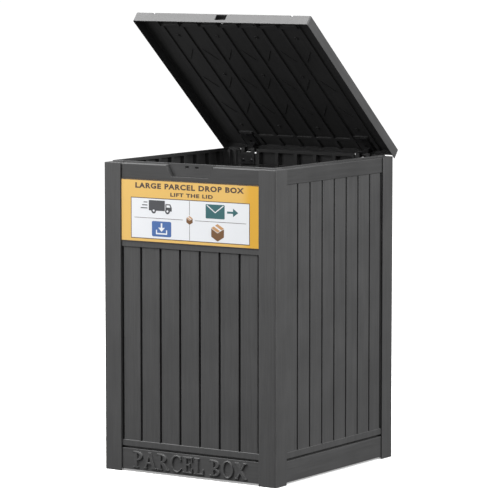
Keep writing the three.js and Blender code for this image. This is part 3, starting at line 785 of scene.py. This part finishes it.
def letter_c(x, z):
    ring = np.maximum(ellipse(x, z, 0.44, 0.5, 0.44, 0.52), -ellipse(x, z, 0.48, 0.5, 0.31, 0.44))
    open_side = bar(x, z, 0.60, 1.2, 0.24, 0.76)
    return union(np.maximum(ring, -open_side), bar(x, z, 0.71, 0.77, 0.66, 0.98))


def letter_e(x, z):
    return union(stem(x, z, 0.17), arm(x, z, 0.2, 0.68, 1 - HAIR, -0.24), arm(x, z, 0.2, 0.68, HAIR, 0.26),
                 arm(x, z, 0.2, 0.52, 0.52, 0.11), arm(x, z, 0.2, 0.52, 0.52, -0.11))


def letter_l(x, z):
    return union(stem(x, z, 0.17), arm(x, z, 0.2, 0.66, HAIR, 0.28))


def letter_b(x, z):
    return union(letter_p(x, z), bowl(x, z, 0.22, 0.49, 0.0, 0.52))


def letter_o(x, z):
    return np.maximum(ellipse(x, z, 0.42, 0.5, 0.42, 0.52), -ellipse(x, z, 0.42, 0.5, 0.25, 0.45))


def letter_x(x, z):
    serifs = [bar(x, z, at - 0.13, at + 0.13, level, level + 2 * SERIF)
              for at in (0.11, 0.69) for level in (0.0, 1 - 2 * SERIF)]
    return union(slant(x, z, 0.69, 0.11, STEM), slant(x, z, 0.11, 0.69, HAIR), *serifs)


LETTERS = {  # each capital's shape and width, as a share of the letters' height
    "P": (letter_p, 0.66), "A": (letter_a, 0.84), "R": (letter_r, 0.82), "C": (letter_c, 0.80),
    "E": (letter_e, 0.70), "L": (letter_l, 0.68), "B": (letter_b, 0.71), "O": (letter_o, 0.84),
    "X": (letter_x, 0.80),
}


def word_relief(X, Z, word, middle, foot):
    """Height of a word above its board: 1 inside the strokes, with a short slope at their edges."""
    s = sizes()
    tall, gap = s.letter_height, s.letter_spacing
    word_space = gap * 1.6
    widths = [LETTERS[c][1] * tall if c in LETTERS else word_space for c in word]
    start = middle - (sum(widths) + gap * (len(word) - 1)) / 2
    relief = np.zeros_like(X)
    slope = mm(0.75)
    for character, width in zip(word, widths):
        if character in LETTERS:
            distance = LETTERS[character][0]((X - start) / tall, (Z - foot) / tall) * tall
            relief = np.maximum(relief, 1.0 - smoothstep(distance, -slope, slope))
        start += width + gap
    return relief


def skirt_board(side, word=""):
    """Board between two posts, on the tray's skirt.

    It is a slab whose lower edge is cut up between its two feet, with rounded borders and the word
    standing out of its face.
    """
    s = sizes()
    tray_low, tray_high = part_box("base_tray")
    post_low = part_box("post_front_left")[0].z
    gap, foot_lift = mm(0.4), mm(1.5)
    half = half_field(side) - gap
    columns, rows = (520, 84) if word else (90, 24)
    x = np.linspace(-half, half, columns)
    x = np.union1d(x, clustered([-half, half], np.linspace(0, mm(14.0), 12), (-half, half)))
    x = np.union1d(x, -x)
    t = np.linspace(0.0, 1.0, rows)
    t = np.union1d(t, np.concatenate([t[:3], t[-3:]]) * 0.999 + 0.0005)
    foot_slope = smoothstep(half - np.abs(x), mm(1.0), mm(2.5))
    foot = post_low + foot_lift + (tray_low.z - post_low - foot_lift) * foot_slope
    Z = foot[None, :] + t[:, None] * (tray_high.z - foot)[None, :]
    X = np.broadcast_to(x[None, :], Z.shape)
    edge = np.minimum(np.minimum(half - np.abs(X), Z - foot[None, :]), tray_high.z - Z)
    border = s.rounding * soft_corner(s.rounding - edge, 0.0, s.rounding)
    depth = border - s.board_cover
    if word:
        share_below = 0.46  # of the space that the word leaves on the board
        word_foot = tray_low.z + (tray_high.z - tray_low.z - s.letter_height) * share_below
        depth = depth - s.letter_relief * word_relief(X, Z, word, 0.0, word_foot)
    face = {"front": tray_low.y, "rear": tray_high.y, "left": tray_low.x, "right": tray_high.x}[side]
    origin, _, inward = wall_frames()[side]
    across = 1 if side in ALONG_X else 0
    offset = (face - origin[across]) * inward[across]
    back = np.full_like(depth, s.rounding + gap)
    mesh = slab_mesh(wall_point(side, X, depth + offset, Z), wall_point(side, X, back + offset, Z))
    return place_piece(f"skirt_board_{side}", mesh, level_grain(), BOX, smooth_angle=50.0)


# ---- Printed label -------------------------------------------------------------------------------


def label_point(x, z, level):
    """Points on the label's face from its middle line and its foot, a number of films above it."""
    low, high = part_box("label_plate")
    y = low.y - sizes().film * (level - 1)
    return np.stack([(low.x + high.x) / 2 + x, np.full_like(x, y), low.z + z], -1)


def prism_mesh(front, back):
    """Closed solid between two outlines that have the same number of points."""
    count = len(front)
    index = np.arange(count)
    after = np.roll(index, -1)
    sides = np.stack([index, index + count, after + count, after], 1)
    return outward(mesh_from(np.concatenate([front, back]), [[index], [index[::-1] + count], sides]))


def film_mesh(outline, level):
    """Closed film of one printed shape: its outline, one film thick."""
    x, z = np.asarray(outline, float).T
    return prism_mesh(label_point(x, z, level), label_point(x, z, level - 1))


def rectangle(x0, x1, z0, z1, radius=0.0):
    """Outline of a rectangle, with rounded corners where a radius is given."""
    if not radius:
        return np.array([[x0, z0], [x1, z0], [x1, z1], [x0, z1]])
    quarter = np.linspace(0, math.pi / 2, 6)
    corners = [(x1 - radius, z1 - radius, 0.0), (x0 + radius, z1 - radius, 0.5),
               (x0 + radius, z0 + radius, 1.0), (x1 - radius, z0 + radius, 1.5)]
    return np.concatenate([np.stack([cx + radius * np.cos(quarter + turn * math.pi),
                                     cz + radius * np.sin(quarter + turn * math.pi)], 1)
                           for cx, cz, turn in corners])


def border_strips(x0, x1, z0, z1, width):
    """Outlines of the four strips inside the border of a rectangle."""
    return [rectangle(x0, x1, z0, z0 + width), rectangle(x0, x1, z1 - width, z1),
            rectangle(x0, x0 + width, z0 + width, z1 - width),
            rectangle(x1 - width, x1, z0 + width, z1 - width)]


def disc(cx, cz, radius, sides=36):
    """Outline of a disc."""
    angle = np.arange(sides) * 2 * math.pi / sides
    return np.stack([cx + radius * np.cos(angle), cz + radius * np.sin(angle)], 1)


def stroke(x0, z0, x1, z1, width):
    """Outline of a straight line of a given width."""
    way = np.array([x1 - x0, z1 - z0])
    side = np.array([-way[1], way[0]]) / np.hypot(*way) * width / 2
    ends = np.array([[x0, z0], [x1, z1]])
    return np.concatenate([ends - side, (ends + side)[::-1]])


def printed(name, outlines, level, material):
    """One printed colour: a set of flat shapes at a level, given in millimetres on the label."""
    meshes = [film_mesh(np.asarray(outline) * MM, level) for outline in outlines]
    return place_piece(name, joined_mesh(meshes), material, BOX, smooth_angle=20.0)


def printed_line(name, words, middle, foot, width, height, level, material):
    """A line of print: text made a mesh and fitted to a width and a height, in millimetres."""
    curve = bpy.data.curves.new(name, "FONT")
    curve.body = words
    curve.align_x = "CENTER"
    curve.space_character = 1.15
    curve.offset = 0.045  # makes the strokes bolder
    curve.extrude = 0.01
    curve.resolution_u = 4
    text = bpy.data.objects.new(f"{name}_text", curve)
    bpy.context.scene.collection.objects.link(text)
    bpy.context.view_layer.update()
    mesh = bpy.data.meshes.new_from_object(text.evaluated_get(bpy.context.evaluated_depsgraph_get()))
    bpy.data.objects.remove(text)
    flat = np.zeros(len(mesh.vertices) * 3)
    mesh.vertices.foreach_get("co", flat)
    flat = flat.reshape(-1, 3)
    low, high = flat.min(0), flat.max(0)
    share = (flat - low) / (high - low)
    x = mm(middle) + (share[:, 0] - 0.5) * mm(width)
    z = mm(foot) + share[:, 1] * mm(height)
    on_face = label_point(x, z, level)
    on_face[:, 1] += (1.0 - share[:, 2]) * sizes().film
    mesh.vertices.foreach_set("co", on_face.reshape(-1))
    mesh.update()
    return place_piece(name, outward(mesh), material, BOX, smooth_angle=20.0)


# ---- Operators -----------------------------------------------------------------------------------


class PARCEL_OT_plank_walls(bpy.types.Operator):
    """Four walls of planks with grooves between them and pockets behind them"""

    bl_idname = "parcel.plank_walls"
    bl_label = "Plank walls"

    def execute(self, context):
        for side in SIDES:
            wall_panel(side)
        return {"FINISHED"}


RECESS_REACH = mm(80.0)  # from the middle line to past either end of the finger recess


class PARCEL_OT_posts_and_rails(bpy.types.Operator):
    """Corner posts, top rails, the striker and the base tray, with rounded corners"""

    bl_idname = "parcel.posts_and_rails"
    bl_label = "Posts, rails and tray"

    def execute(self, context):
        rounding = sizes().rounding
        for place in ("front_left", "front_right", "rear_right", "rear_left"):
            moulding(f"post_{place}", upright_grain(), BOX, rounding)
        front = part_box("rail_front")[0].y

        def lip(point):
            """Whether a point is on the front rim of the finger recess."""
            return point.y < front + mm(0.2) and abs(point.x) < RECESS_REACH

        # the rails and the striker take the darker resin copy, a painted shade
        for side in SIDES:
            moulding(f"rail_{side}", shaded_rail_grain(), BOX, rounding * 0.8,
                     broad=lip if side == "front" else None)
        moulding("catch_striker", shaded_rail_grain(), BOX, rounding * 0.5)
        moulding("base_tray", level_grain(), BOX, rounding * 0.8)
        return {"FINISHED"}


class PARCEL_OT_skirt_boards(bpy.types.Operator):
    """Boards of the skirt, with the raised word on the front one"""

    bl_idname = "parcel.skirt_boards"
    bl_label = "Skirt boards"

    def execute(self, context):
        skirt_board("front", colours().skirt_word)
        for side in ("rear", "left", "right"):
            skirt_board(side)
        return {"FINISHED"}


class PARCEL_OT_label(bpy.types.Operator):
    """Printed label: its amber sheet, white panel, rules, words and four signs"""

    bl_idname = "parcel.label"
    bl_label = "Label"

    def execute(self, context):
        tones = colours()
        low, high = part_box("label_plate")
        half, tall = (high.x - low.x) / 2 / MM, (high.z - low.z) / MM
        faded_until, full_from = 0.168, 0.204
        amber = printed_paper("amber_print", tones.amber_pale, tones.amber, (faded_until, full_from))
        corner = 2.0
        x, z = rectangle(-half, half, 0.0, tall, corner).T * MM
        front = label_point(x, z, 1)
        mesh = prism_mesh(front, front + np.array([0.0, high.y - low.y, 0.0]))
        place_piece("label_sheet", mesh, amber, BOX, ["label_plate"], smooth_angle=20.0)

        paper = printed_paper("white_print", tones.paper)
        ink = printed_paper("dark_ink", tones.ink)
        # the white panel and its middle, in millimetres from the label's middle line and its foot
        left, right, foot, top = -195.0, 199.0, 9.0, 123.0
        middle, level_line = 1.5, 67.0
        printed("label_panel", [rectangle(left, right, foot, top)], 2, paper)
        rule, thin, edge = 2.0, 1.3, 1.5
        # the thin rules stop short of the border and of the disc in the middle
        printed("label_rules", [
            *border_strips(left, right, foot, top, rule),
            rectangle(middle - thin / 2, middle + thin / 2, foot + 3, level_line - 13),
            rectangle(middle - thin / 2, middle + thin / 2, level_line + 13, top - 3),
            rectangle(left + 12, middle - 22, level_line - thin / 2, level_line + thin / 2),
            rectangle(middle + 18, right - 12, level_line - thin / 2, level_line + thin / 2),
        ], 3, ink)
        # painted shade: a dark ink border round the label stands for the shadow along its edge
        printed("label_painted_shade_edge", border_strips(-half, half, 0.0, tall, edge), 2, ink)
        printed_line("label_header", tones.header, 0.0, 148.5, 360.0, 15.5, 2, ink)
        printed_line("label_second_line", tones.second_line, 8.0, 129.5, 141.0, 10.5, 2, ink)
        self.signs(tones, middle, level_line)
        return {"FINISHED"}

    def signs(self, tones, middle, level_line):
        """Van, envelope, letter tray and parcel, one in each quarter, and a small parcel between."""
        slate, teal, blue, tan, brown = (
            printed_paper(f"{name}_ink", getattr(tones, name))
            for name in ("slate", "teal", "blue", "tan", "brown"))
        paper = printed_paper("white_ink", tones.paper)

        cab = [(14.5, 0), (31.5, 0), (31.5, 8), (27.5, 16), (14.5, 16)]
        glass = [(17.5, 8.5), (28, 8.5), (25.5, 13.5), (17.5, 13.5)]
        van = self.sign(-97.0, 88.0, 1.25)
        printed("sign_van", van(rectangle(-30, 13, 0, 23, 1.5), cab), 3, slate)
        printed("sign_van_wheels", van(disc(-17, 0, 6.4), disc(20, 0, 6.4)), 4, slate)
        printed("sign_van_gaps", van(disc(-17, 0, 2.5), disc(20, 0, 2.5), glass), 5, paper)
        printed("sign_van_speed", van(*[stroke(-52 + n * 4, 5 + 6.5 * n, -34, 5 + 6.5 * n, 2.2)
                                        for n in range(3)]), 3, slate)

        post = self.sign(86.0, 95.0, 1.3)
        printed("sign_envelope", post(rectangle(-24, 24, -15, 15, 2.0)), 3, teal)
        flap = [(-21.6, 12.2), (0, -3.2), (21.6, 12.2), (20.4, 13.8), (0, -0.8), (-20.4, 13.8)]
        printed("sign_envelope_flap", post(flap), 4, paper)
        printed("sign_envelope_arrow", post(stroke(30, 0, 45, 0, 4.4), [(45, -9), (58, 0), (45, 9)]),
                3, teal)

        tray = self.sign(-92.0, 38.0, 1.25)
        printed("sign_tray", tray(rectangle(-26, 26, -17, 17, 3.5)), 3, blue)
        printed("sign_tray_arrow", tray(
            stroke(0, 13, 0, 3, 4.0), [(-9, 3), (0, -6), (9, 3)], rectangle(-15, 15, -12, -9),
            rectangle(-15, -12, -9, -2), rectangle(12, 15, -9, -2)), 4, paper)

        self.parcel("sign_parcel", 94.0, 38.0, 24.0, tan, brown, paper)
        printed("sign_middle_disc", [disc(middle, level_line, 14.5)], 3, paper)
        self.parcel("sign_middle_parcel", middle, level_line, 12.0, tan, brown, paper)

    def sign(self, x, z, scale):
        """A function that puts outlines drawn round a sign's middle in their place on the label."""
        return lambda *outlines: [np.asarray(one, float) * scale + (x, z) for one in outlines]

    def parcel(self, name, x, z, size, tan, brown, paper):
        """A parcel drawn corner on: a lit top, two shaded sides and a strip of tape over the top."""
        at = self.sign(x, z, size)
        top = [(0, 1), (-0.87, 0.5), (0, 0), (0.87, 0.5)]
        left = [(-0.87, 0.44), (0, -0.06), (0, -1), (-0.87, -0.5)]
        right = [(0.87, 0.44), (0.87, -0.5), (0, -1), (0, -0.06)]
        tape = [(-0.52, 0.70), (-0.35, 0.80), (0.52, 0.30), (0.35, 0.20)]
        printed(f"{name}_top", at(top), 4, tan)
        printed(f"{name}_sides", at(left, right), 4, brown)
        printed(f"{name}_tape", at(tape), 5, paper)


LID_TOP = mm(30.0)  # from the hinge axis to the top of the shut lid


class PARCEL_OT_lid(bpy.types.Operator):
    """Lid shell and catch, with rounded corners, and the bosses and braces under the shell"""

    bl_idname = "parcel.lid"
    bl_label = "Lid"

    def execute(self, context):
        rounding = sizes().rounding
        moulding("lid_shell", lid_grain(), LID, rounding)
        moulding("lid_catch", lid_grain(), LID, rounding * 0.6)
        self.bosses()
        self.braces()
        return {"FINISHED"}

    def bays(self):
        """Middles of the bays between the ridges under the lid."""
        lines = plank_lines("front")
        return (lines[:-1] + lines[1:]) / 2

    def ceiling(self):
        """Height of the underside of the lid's skin above the hinge axis, with the lid shut."""
        return LID_TOP - sizes().skin

    def bosses(self):
        """Round bosses under the lid, in three rows: a ring with a hollow, turned about its axis."""
        outer, inner, tall = mm(5.0), mm(2.4), mm(3.2)
        hollow, shoulder, root, chamfer = mm(-0.4), mm(-2.8), mm(0.4), mm(0.4)
        radii = [0.0, inner, inner, inner + chamfer, outer - chamfer, outer, outer + mm(0.3), 0.0]
        heights = [hollow, hollow, shoulder, -tall, -tall, shoulder, root, root]
        meshes = []
        for row, reach in enumerate((0.086, 0.330, 0.505)):
            for bay in self.bays()[row % 2::2]:
                at = np.array([bay, -reach, self.ceiling()])
                meshes.append(turned_mesh(radii, heights, 28, lambda p, at=at: on_lid(p + at)))
        place_piece("lid_bosses", joined_mesh(meshes), lid_boss_resin(), LID)

    def braces(self):
        """Low slanted braces in the bays: a rounded bar profile carried along a slant.

        The profile shrinks at both ends by the root of 1 - t^6, for t from -1 to 1 along the brace.
        """
        half, crown, sunk, sideways, forward = mm(0.9), mm(1.2), mm(0.3), mm(17.0), mm(26.0)
        turn = np.linspace(0.0, math.pi, 9)
        across = np.concatenate([half * np.cos(turn), [-half, half]])
        up = np.concatenate([-crown - half * np.sin(turn), [sunk, sunk]])
        steps, corners = 13, len(across)
        t = np.linspace(-1.0, 1.0, steps)
        swell = np.sqrt(np.clip(1.0 - t ** 6, 0.02, 1.0))
        first = np.arange(corners)
        faces = [grid_faces(steps, corners, wrap_columns=True), [first], [first + (steps - 1) * corners]]
        meshes = []
        for number, bay in enumerate(self.bays()):
            for reach in (0.17, 0.29, 0.42):
                way = 1.0 if (number + round(reach * 100)) % 2 else -1.0
                x = bay + way * sideways * t[:, None] + across[None, :] * swell[:, None]
                y = -reach + forward * t[:, None] + 0 * across[None, :]
                z = self.ceiling() + up[None, :] * swell[:, None]
                meshes.append(outward(mesh_from(on_lid(np.stack([x, y, z], -1)), faces)))
        place_piece("lid_braces", joined_mesh(meshes), lid_boss_resin(), LID)


def on_lid(points):
    """Points given from the hinge axis with the lid shut, turned to where the lid stands at rest."""
    cosine, sine = math.cos(-LID_ANGLE), math.sin(-LID_ANGLE)
    x, y, z = points[..., 0], points[..., 1], points[..., 2]
    return np.stack([x, y * cosine - z * sine, y * sine + z * cosine], -1) + AXIS


PIN_SHANK, PIN_HEAD_LENGTH, PIN_CHAMFER = mm(3.0), mm(2.0), mm(0.6)
PIN_DOME = 0.6  # height of a pin's dome, as a share of its head's length


class PARCEL_OT_hinges(bpy.types.Operator):
    """Hinge brackets and arms with rounded corners, and the turned pins"""

    bl_idname = "parcel.hinges"
    bl_label = "Hinges"

    def execute(self, context):
        steel = shared("coated_plate", coated_steel, colours().steel_coat, colours().steel)
        pin_steel = shared("turned_steel", plated_steel, colours().dark_steel, "x")
        for side in ("left", "right"):
            moulding(f"hinge_bracket_{side}", steel, BOX, sizes().steel_rounding, 2)
            moulding(f"hinge_arm_{side}", steel, LID, sizes().steel_rounding, 2)
            self.pin(side, pin_steel)
        return {"FINISHED"}

    def pin(self, side, steel):
        """Headed pin: its shank, a domed head at one end and a chamfer at the other.

        The head is at the end where the frame's pin has its points far from the axis.
        """
        low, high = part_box(f"hinge_pin_{side}")
        centre = (low + high) / 2
        head, long = (high.y - low.y) / 2, high.x - low.x
        dome = np.linspace(0.0, math.pi / 2, 7)
        radii = np.concatenate([
            head * np.sin(dome), [head, PIN_SHANK, PIN_SHANK, PIN_SHANK - PIN_CHAMFER, 0.0]])
        reach = np.concatenate([
            PIN_HEAD_LENGTH * PIN_DOME * (1 - np.cos(dome)),
            [PIN_HEAD_LENGTH, PIN_HEAD_LENGTH, long - PIN_CHAMFER, long, long]])
        points = node_points(f"hinge_pin_{side}") - np.array(centre)
        headed = np.hypot(points[:, 1], points[:, 2]) > PIN_SHANK + PIN_CHAMFER
        from_high = points[headed, 0].mean() > 0.0
        start, way = (high.x, -1.0) if from_high else (low.x, 1.0)

        def placed(points):
            return np.stack([start + way * points[..., 2], centre.y + points[..., 0],
                             centre.z + points[..., 1]], -1)

        mesh = turned_mesh(radii, reach, 40, placed)
        place_piece(f"hinge_pin_turned_{side}", mesh, steel, BOX, [f"hinge_pin_{side}"])


def node_points(name):
    """Points of a frame node, as an array."""
    return np.array([vertex.co for vertex in frame["nodes"][name].data.vertices])


SCREW_HEAD_TALL, SCREW_SHANK, SCREW_POINT = mm(2.4), mm(1.8), mm(2.0)
CROSS_HALF, CROSS_REACH, CROSS_DEPTH = mm(0.45), mm(2.2), mm(1.3)
DOME_SHARE, DOME_POWER = 0.45, 2.6  # a head's dome falls by this share of its height, on this power


class PARCEL_OT_screws(bpy.types.Operator):
    """Pan-head screws with a cross recess, one in the place of each plain screw"""

    bl_idname = "parcel.screws"
    bl_label = "Screws"

    def execute(self, context):
        steel = shared("blackened_screws", plated_steel, colours().dark_steel, "z")
        for name in sorted(n for n in frame["nodes"] if "screw" in n):
            self.screw(name, steel)
        return {"FINISHED"}

    def screw(self, node, steel):
        """One screw. Its head is a polar grid whose height is a dome less a cross-shaped dip."""
        axis, head_end, tip_end, radius = screw_axis(node_points(node))
        sides = 48
        angle = np.arange(sides) * 2 * math.pi / sides
        share = np.array([0.0, 0.12, 0.22, 0.32, 0.42, 0.52, 0.60, 0.70, 0.80, 0.90, 0.97, 1.0])
        long = np.linalg.norm(tip_end - head_end)
        R, A = np.meshgrid(share * radius, angle, indexing="ij")
        U, V = R * np.cos(A), R * np.sin(A)
        dome = SCREW_HEAD_TALL * DOME_SHARE * (R / radius) ** DOME_POWER
        cross = np.maximum(np.minimum(np.abs(U), np.abs(V)) - CROSS_HALF, R - CROSS_REACH)
        dip = CROSS_DEPTH * (1.0 - smoothstep(cross, -mm(0.15), mm(0.25)))
        head = np.stack([U, V, dome + dip], -1)
        rings = [(radius, SCREW_HEAD_TALL), (SCREW_SHANK, SCREW_HEAD_TALL),
                 (SCREW_SHANK, long - SCREW_POINT), (mm(0.3), long), (0.0, long)]
        lower = np.stack([np.stack([r * np.cos(angle), r * np.sin(angle), np.full(sides, h)], -1)
                          for r, h in rings])
        local = np.concatenate([head, lower])
        side = Vector(axis).orthogonal().normalized()
        basis = np.array([side, Vector(axis).cross(side), axis])
        mesh = outward(mesh_from(head_end + local @ basis, [
            grid_faces(len(local), sides, wrap_columns=True)]))
        body = frame["nodes"][node]["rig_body"]
        place_piece(f"{node}_cross_head", mesh, steel, body, [node], smooth_angle=40.0)


def screw_axis(points):
    """A screw's axis from its head to its tip, its two ends and its head's radius, from its points.

    The axis is the principal direction along which the points lie at the fewest levels, and its
    head is the end where the points lie farthest from it.
    """
    centre = points.mean(0)
    ways = np.linalg.svd(points - centre, full_matrices=False)[2]
    levels = [len(np.unique(np.round((points - centre) @ way / mm(0.05)))) for way in ways]
    way = ways[int(np.argmin(levels))]
    along = (points - centre) @ way
    radial = np.linalg.norm(points - centre - along[:, None] * way, axis=1)
    rim = radial > radial.max() * 0.95
    if along[rim].mean() > (along.min() + along.max()) / 2:
        way, along = -way, -along
    core = points[rim].mean(0)
    line = core - ((core - centre) @ way) * way
    return way, line + along.min() * way, line + along.max() * way, radial.max()


LAMPS = (  # each lamp's name, its place from the middle of the box, its size and its power
    ("overhead_softbox", (-2.1, -1.8, 4.4), 3.3, 570.0),
    ("right_fill", (3.6, 0.1, 1.8), 2.0, 192.0),
    ("front_fill", (-1.7, -2.3, 0.4), 1.6, 20.0),
)
FLOOR_REACH = 160.0  # far enough for its edge to vanish into the backdrop


class PARCEL_OT_stage(bpy.types.Operator):
    """Pale floor, soft studio light and the camera"""

    bl_idname = "parcel.stage"
    bl_label = "Stage"

    def execute(self, context):
        self.floor()
        self.sky(context.scene)
        middle = Vector([(low + high) / 2 for low, high in zip(*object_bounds())])
        for name, place, size, power in LAMPS:
            self.lamp(name, middle + Vector(place), middle, size, power)
        self.camera(context.scene, middle)
        context.scene.view_settings.view_transform = "Standard"
        return {"FINISHED"}

    def floor(self):
        """A square sheet, whose points are a grid at floor height."""
        lines = np.linspace(-FLOOR_REACH, FLOOR_REACH, 9)
        X, Y = np.meshgrid(lines, lines)
        mesh = mesh_from(np.stack([X, Y, 0 * X], -1), [grid_faces(len(lines), len(lines))])
        mesh.materials.append(studio_floor("pale_floor", colours().floor))
        floor = bpy.data.objects.new("studio_floor", mesh)
        bpy.context.scene.collection.objects.link(floor)
        floor.visible_diffuse = False
        floor.visible_glossy = False
        floor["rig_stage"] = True

    def sky(self, scene):
        """Pale backdrop to the camera, and a dome that is bright above and dim below to the box."""
        world = bpy.data.worlds.new("studio")
        scene.world = world
        world.use_nodes = True
        tree = world.node_tree
        tree.nodes.clear()
        wire = Wire(tree)
        way = wire.node("ShaderNodeTexCoord", output="Generated")
        up = wire.node("ShaderNodeSeparateXYZ", (), {"Vector": way}, "Z")
        dome = 0.14 + 0.86 * up.step(-0.05, 0.85)
        seen = wire.node("ShaderNodeLightPath", output="Is Camera Ray")
        strength = seen + (1 - seen) * dome
        light = wire.node("ShaderNodeBackground", (), {"Color": (1, 1, 1, 1), "Strength": strength})
        output = tree.nodes.new("ShaderNodeOutputWorld")
        tree.links.new(light.socket, output.inputs["Surface"])

    def lamp(self, name, place, aim, size, power):
        light = bpy.data.lights.new(name, "AREA")
        light.shape = "SQUARE"
        light.size = size
        light.energy = power
        lamp = bpy.data.objects.new(name, light)
        lamp.location = place
        lamp.rotation_euler = (aim - place).to_track_quat("-Z", "Y").to_euler()
        bpy.context.scene.collection.objects.link(lamp)

    def camera(self, scene, middle):
        """A long lens a little above the box, turned to its right front corner."""
        turn, pitch, distance = math.radians(33.26), math.radians(6.0), 8.8752
        aim = middle + Vector((0.0, mm(-11.5), mm(-30.3)))  # a little below the middle
        away = Vector((math.sin(turn) * math.cos(pitch), -math.cos(turn) * math.cos(pitch), math.sin(pitch)))
        data = bpy.data.cameras.new("studio_camera")
        data.lens = 226.3
        data.sensor_width = 36.0
        data.clip_end = 200.0
        camera = bpy.data.objects.new("studio_camera", data)
        camera.location = aim + away * distance
        camera.rotation_euler = (math.pi / 2 - pitch, 0.0, turn)
        scene.collection.objects.link(camera)
        scene.camera = camera


OPERATORS = (
    PARCEL_OT_stage,
    PARCEL_OT_plank_walls,
    PARCEL_OT_posts_and_rails,
    PARCEL_OT_skirt_boards,
    PARCEL_OT_label,
    PARCEL_OT_lid,
    PARCEL_OT_hinges,
    PARCEL_OT_screws,
)


class PARCEL_PT_sidebar(bpy.types.Panel):
    """Lists the sizes, the colours and the operators"""

    bl_idname = "PARCEL_PT_sidebar"
    bl_label = "Parcel drop box"
    bl_space_type = "VIEW_3D"
    bl_region_type = "UI"
    bl_category = "Parcel Box"

    def draw(self, context):
        layout = self.layout
        for group in (context.scene.parcel_box_sizes, context.scene.parcel_box_colours):
            column = layout.column()
            for name in group.bl_rna.properties.keys():
                if name not in ("rna_type", "name"):
                    column.prop(group, name)
        for operator in OPERATORS:
            layout.operator(operator.bl_idname)


CLASSES = (ParcelBoxSizes, ParcelBoxColours, *OPERATORS, PARCEL_PT_sidebar)


def register():
    for cls in CLASSES:
        bpy.utils.register_class(cls)
    bpy.types.Scene.parcel_box_sizes = PointerProperty(type=ParcelBoxSizes)
    bpy.types.Scene.parcel_box_colours = PointerProperty(type=ParcelBoxColours)


def unregister():
    del bpy.types.Scene.parcel_box_colours
    del bpy.types.Scene.parcel_box_sizes
    for cls in reversed(CLASSES):
        bpy.utils.unregister_class(cls)


def main():
    """Builds everything round the frame."""
    register()
    for operator in OPERATORS:
        group, name = operator.bl_idname.split(".")
        getattr(getattr(bpy.ops, group), name)()


if __name__ == "__main__":
    main()
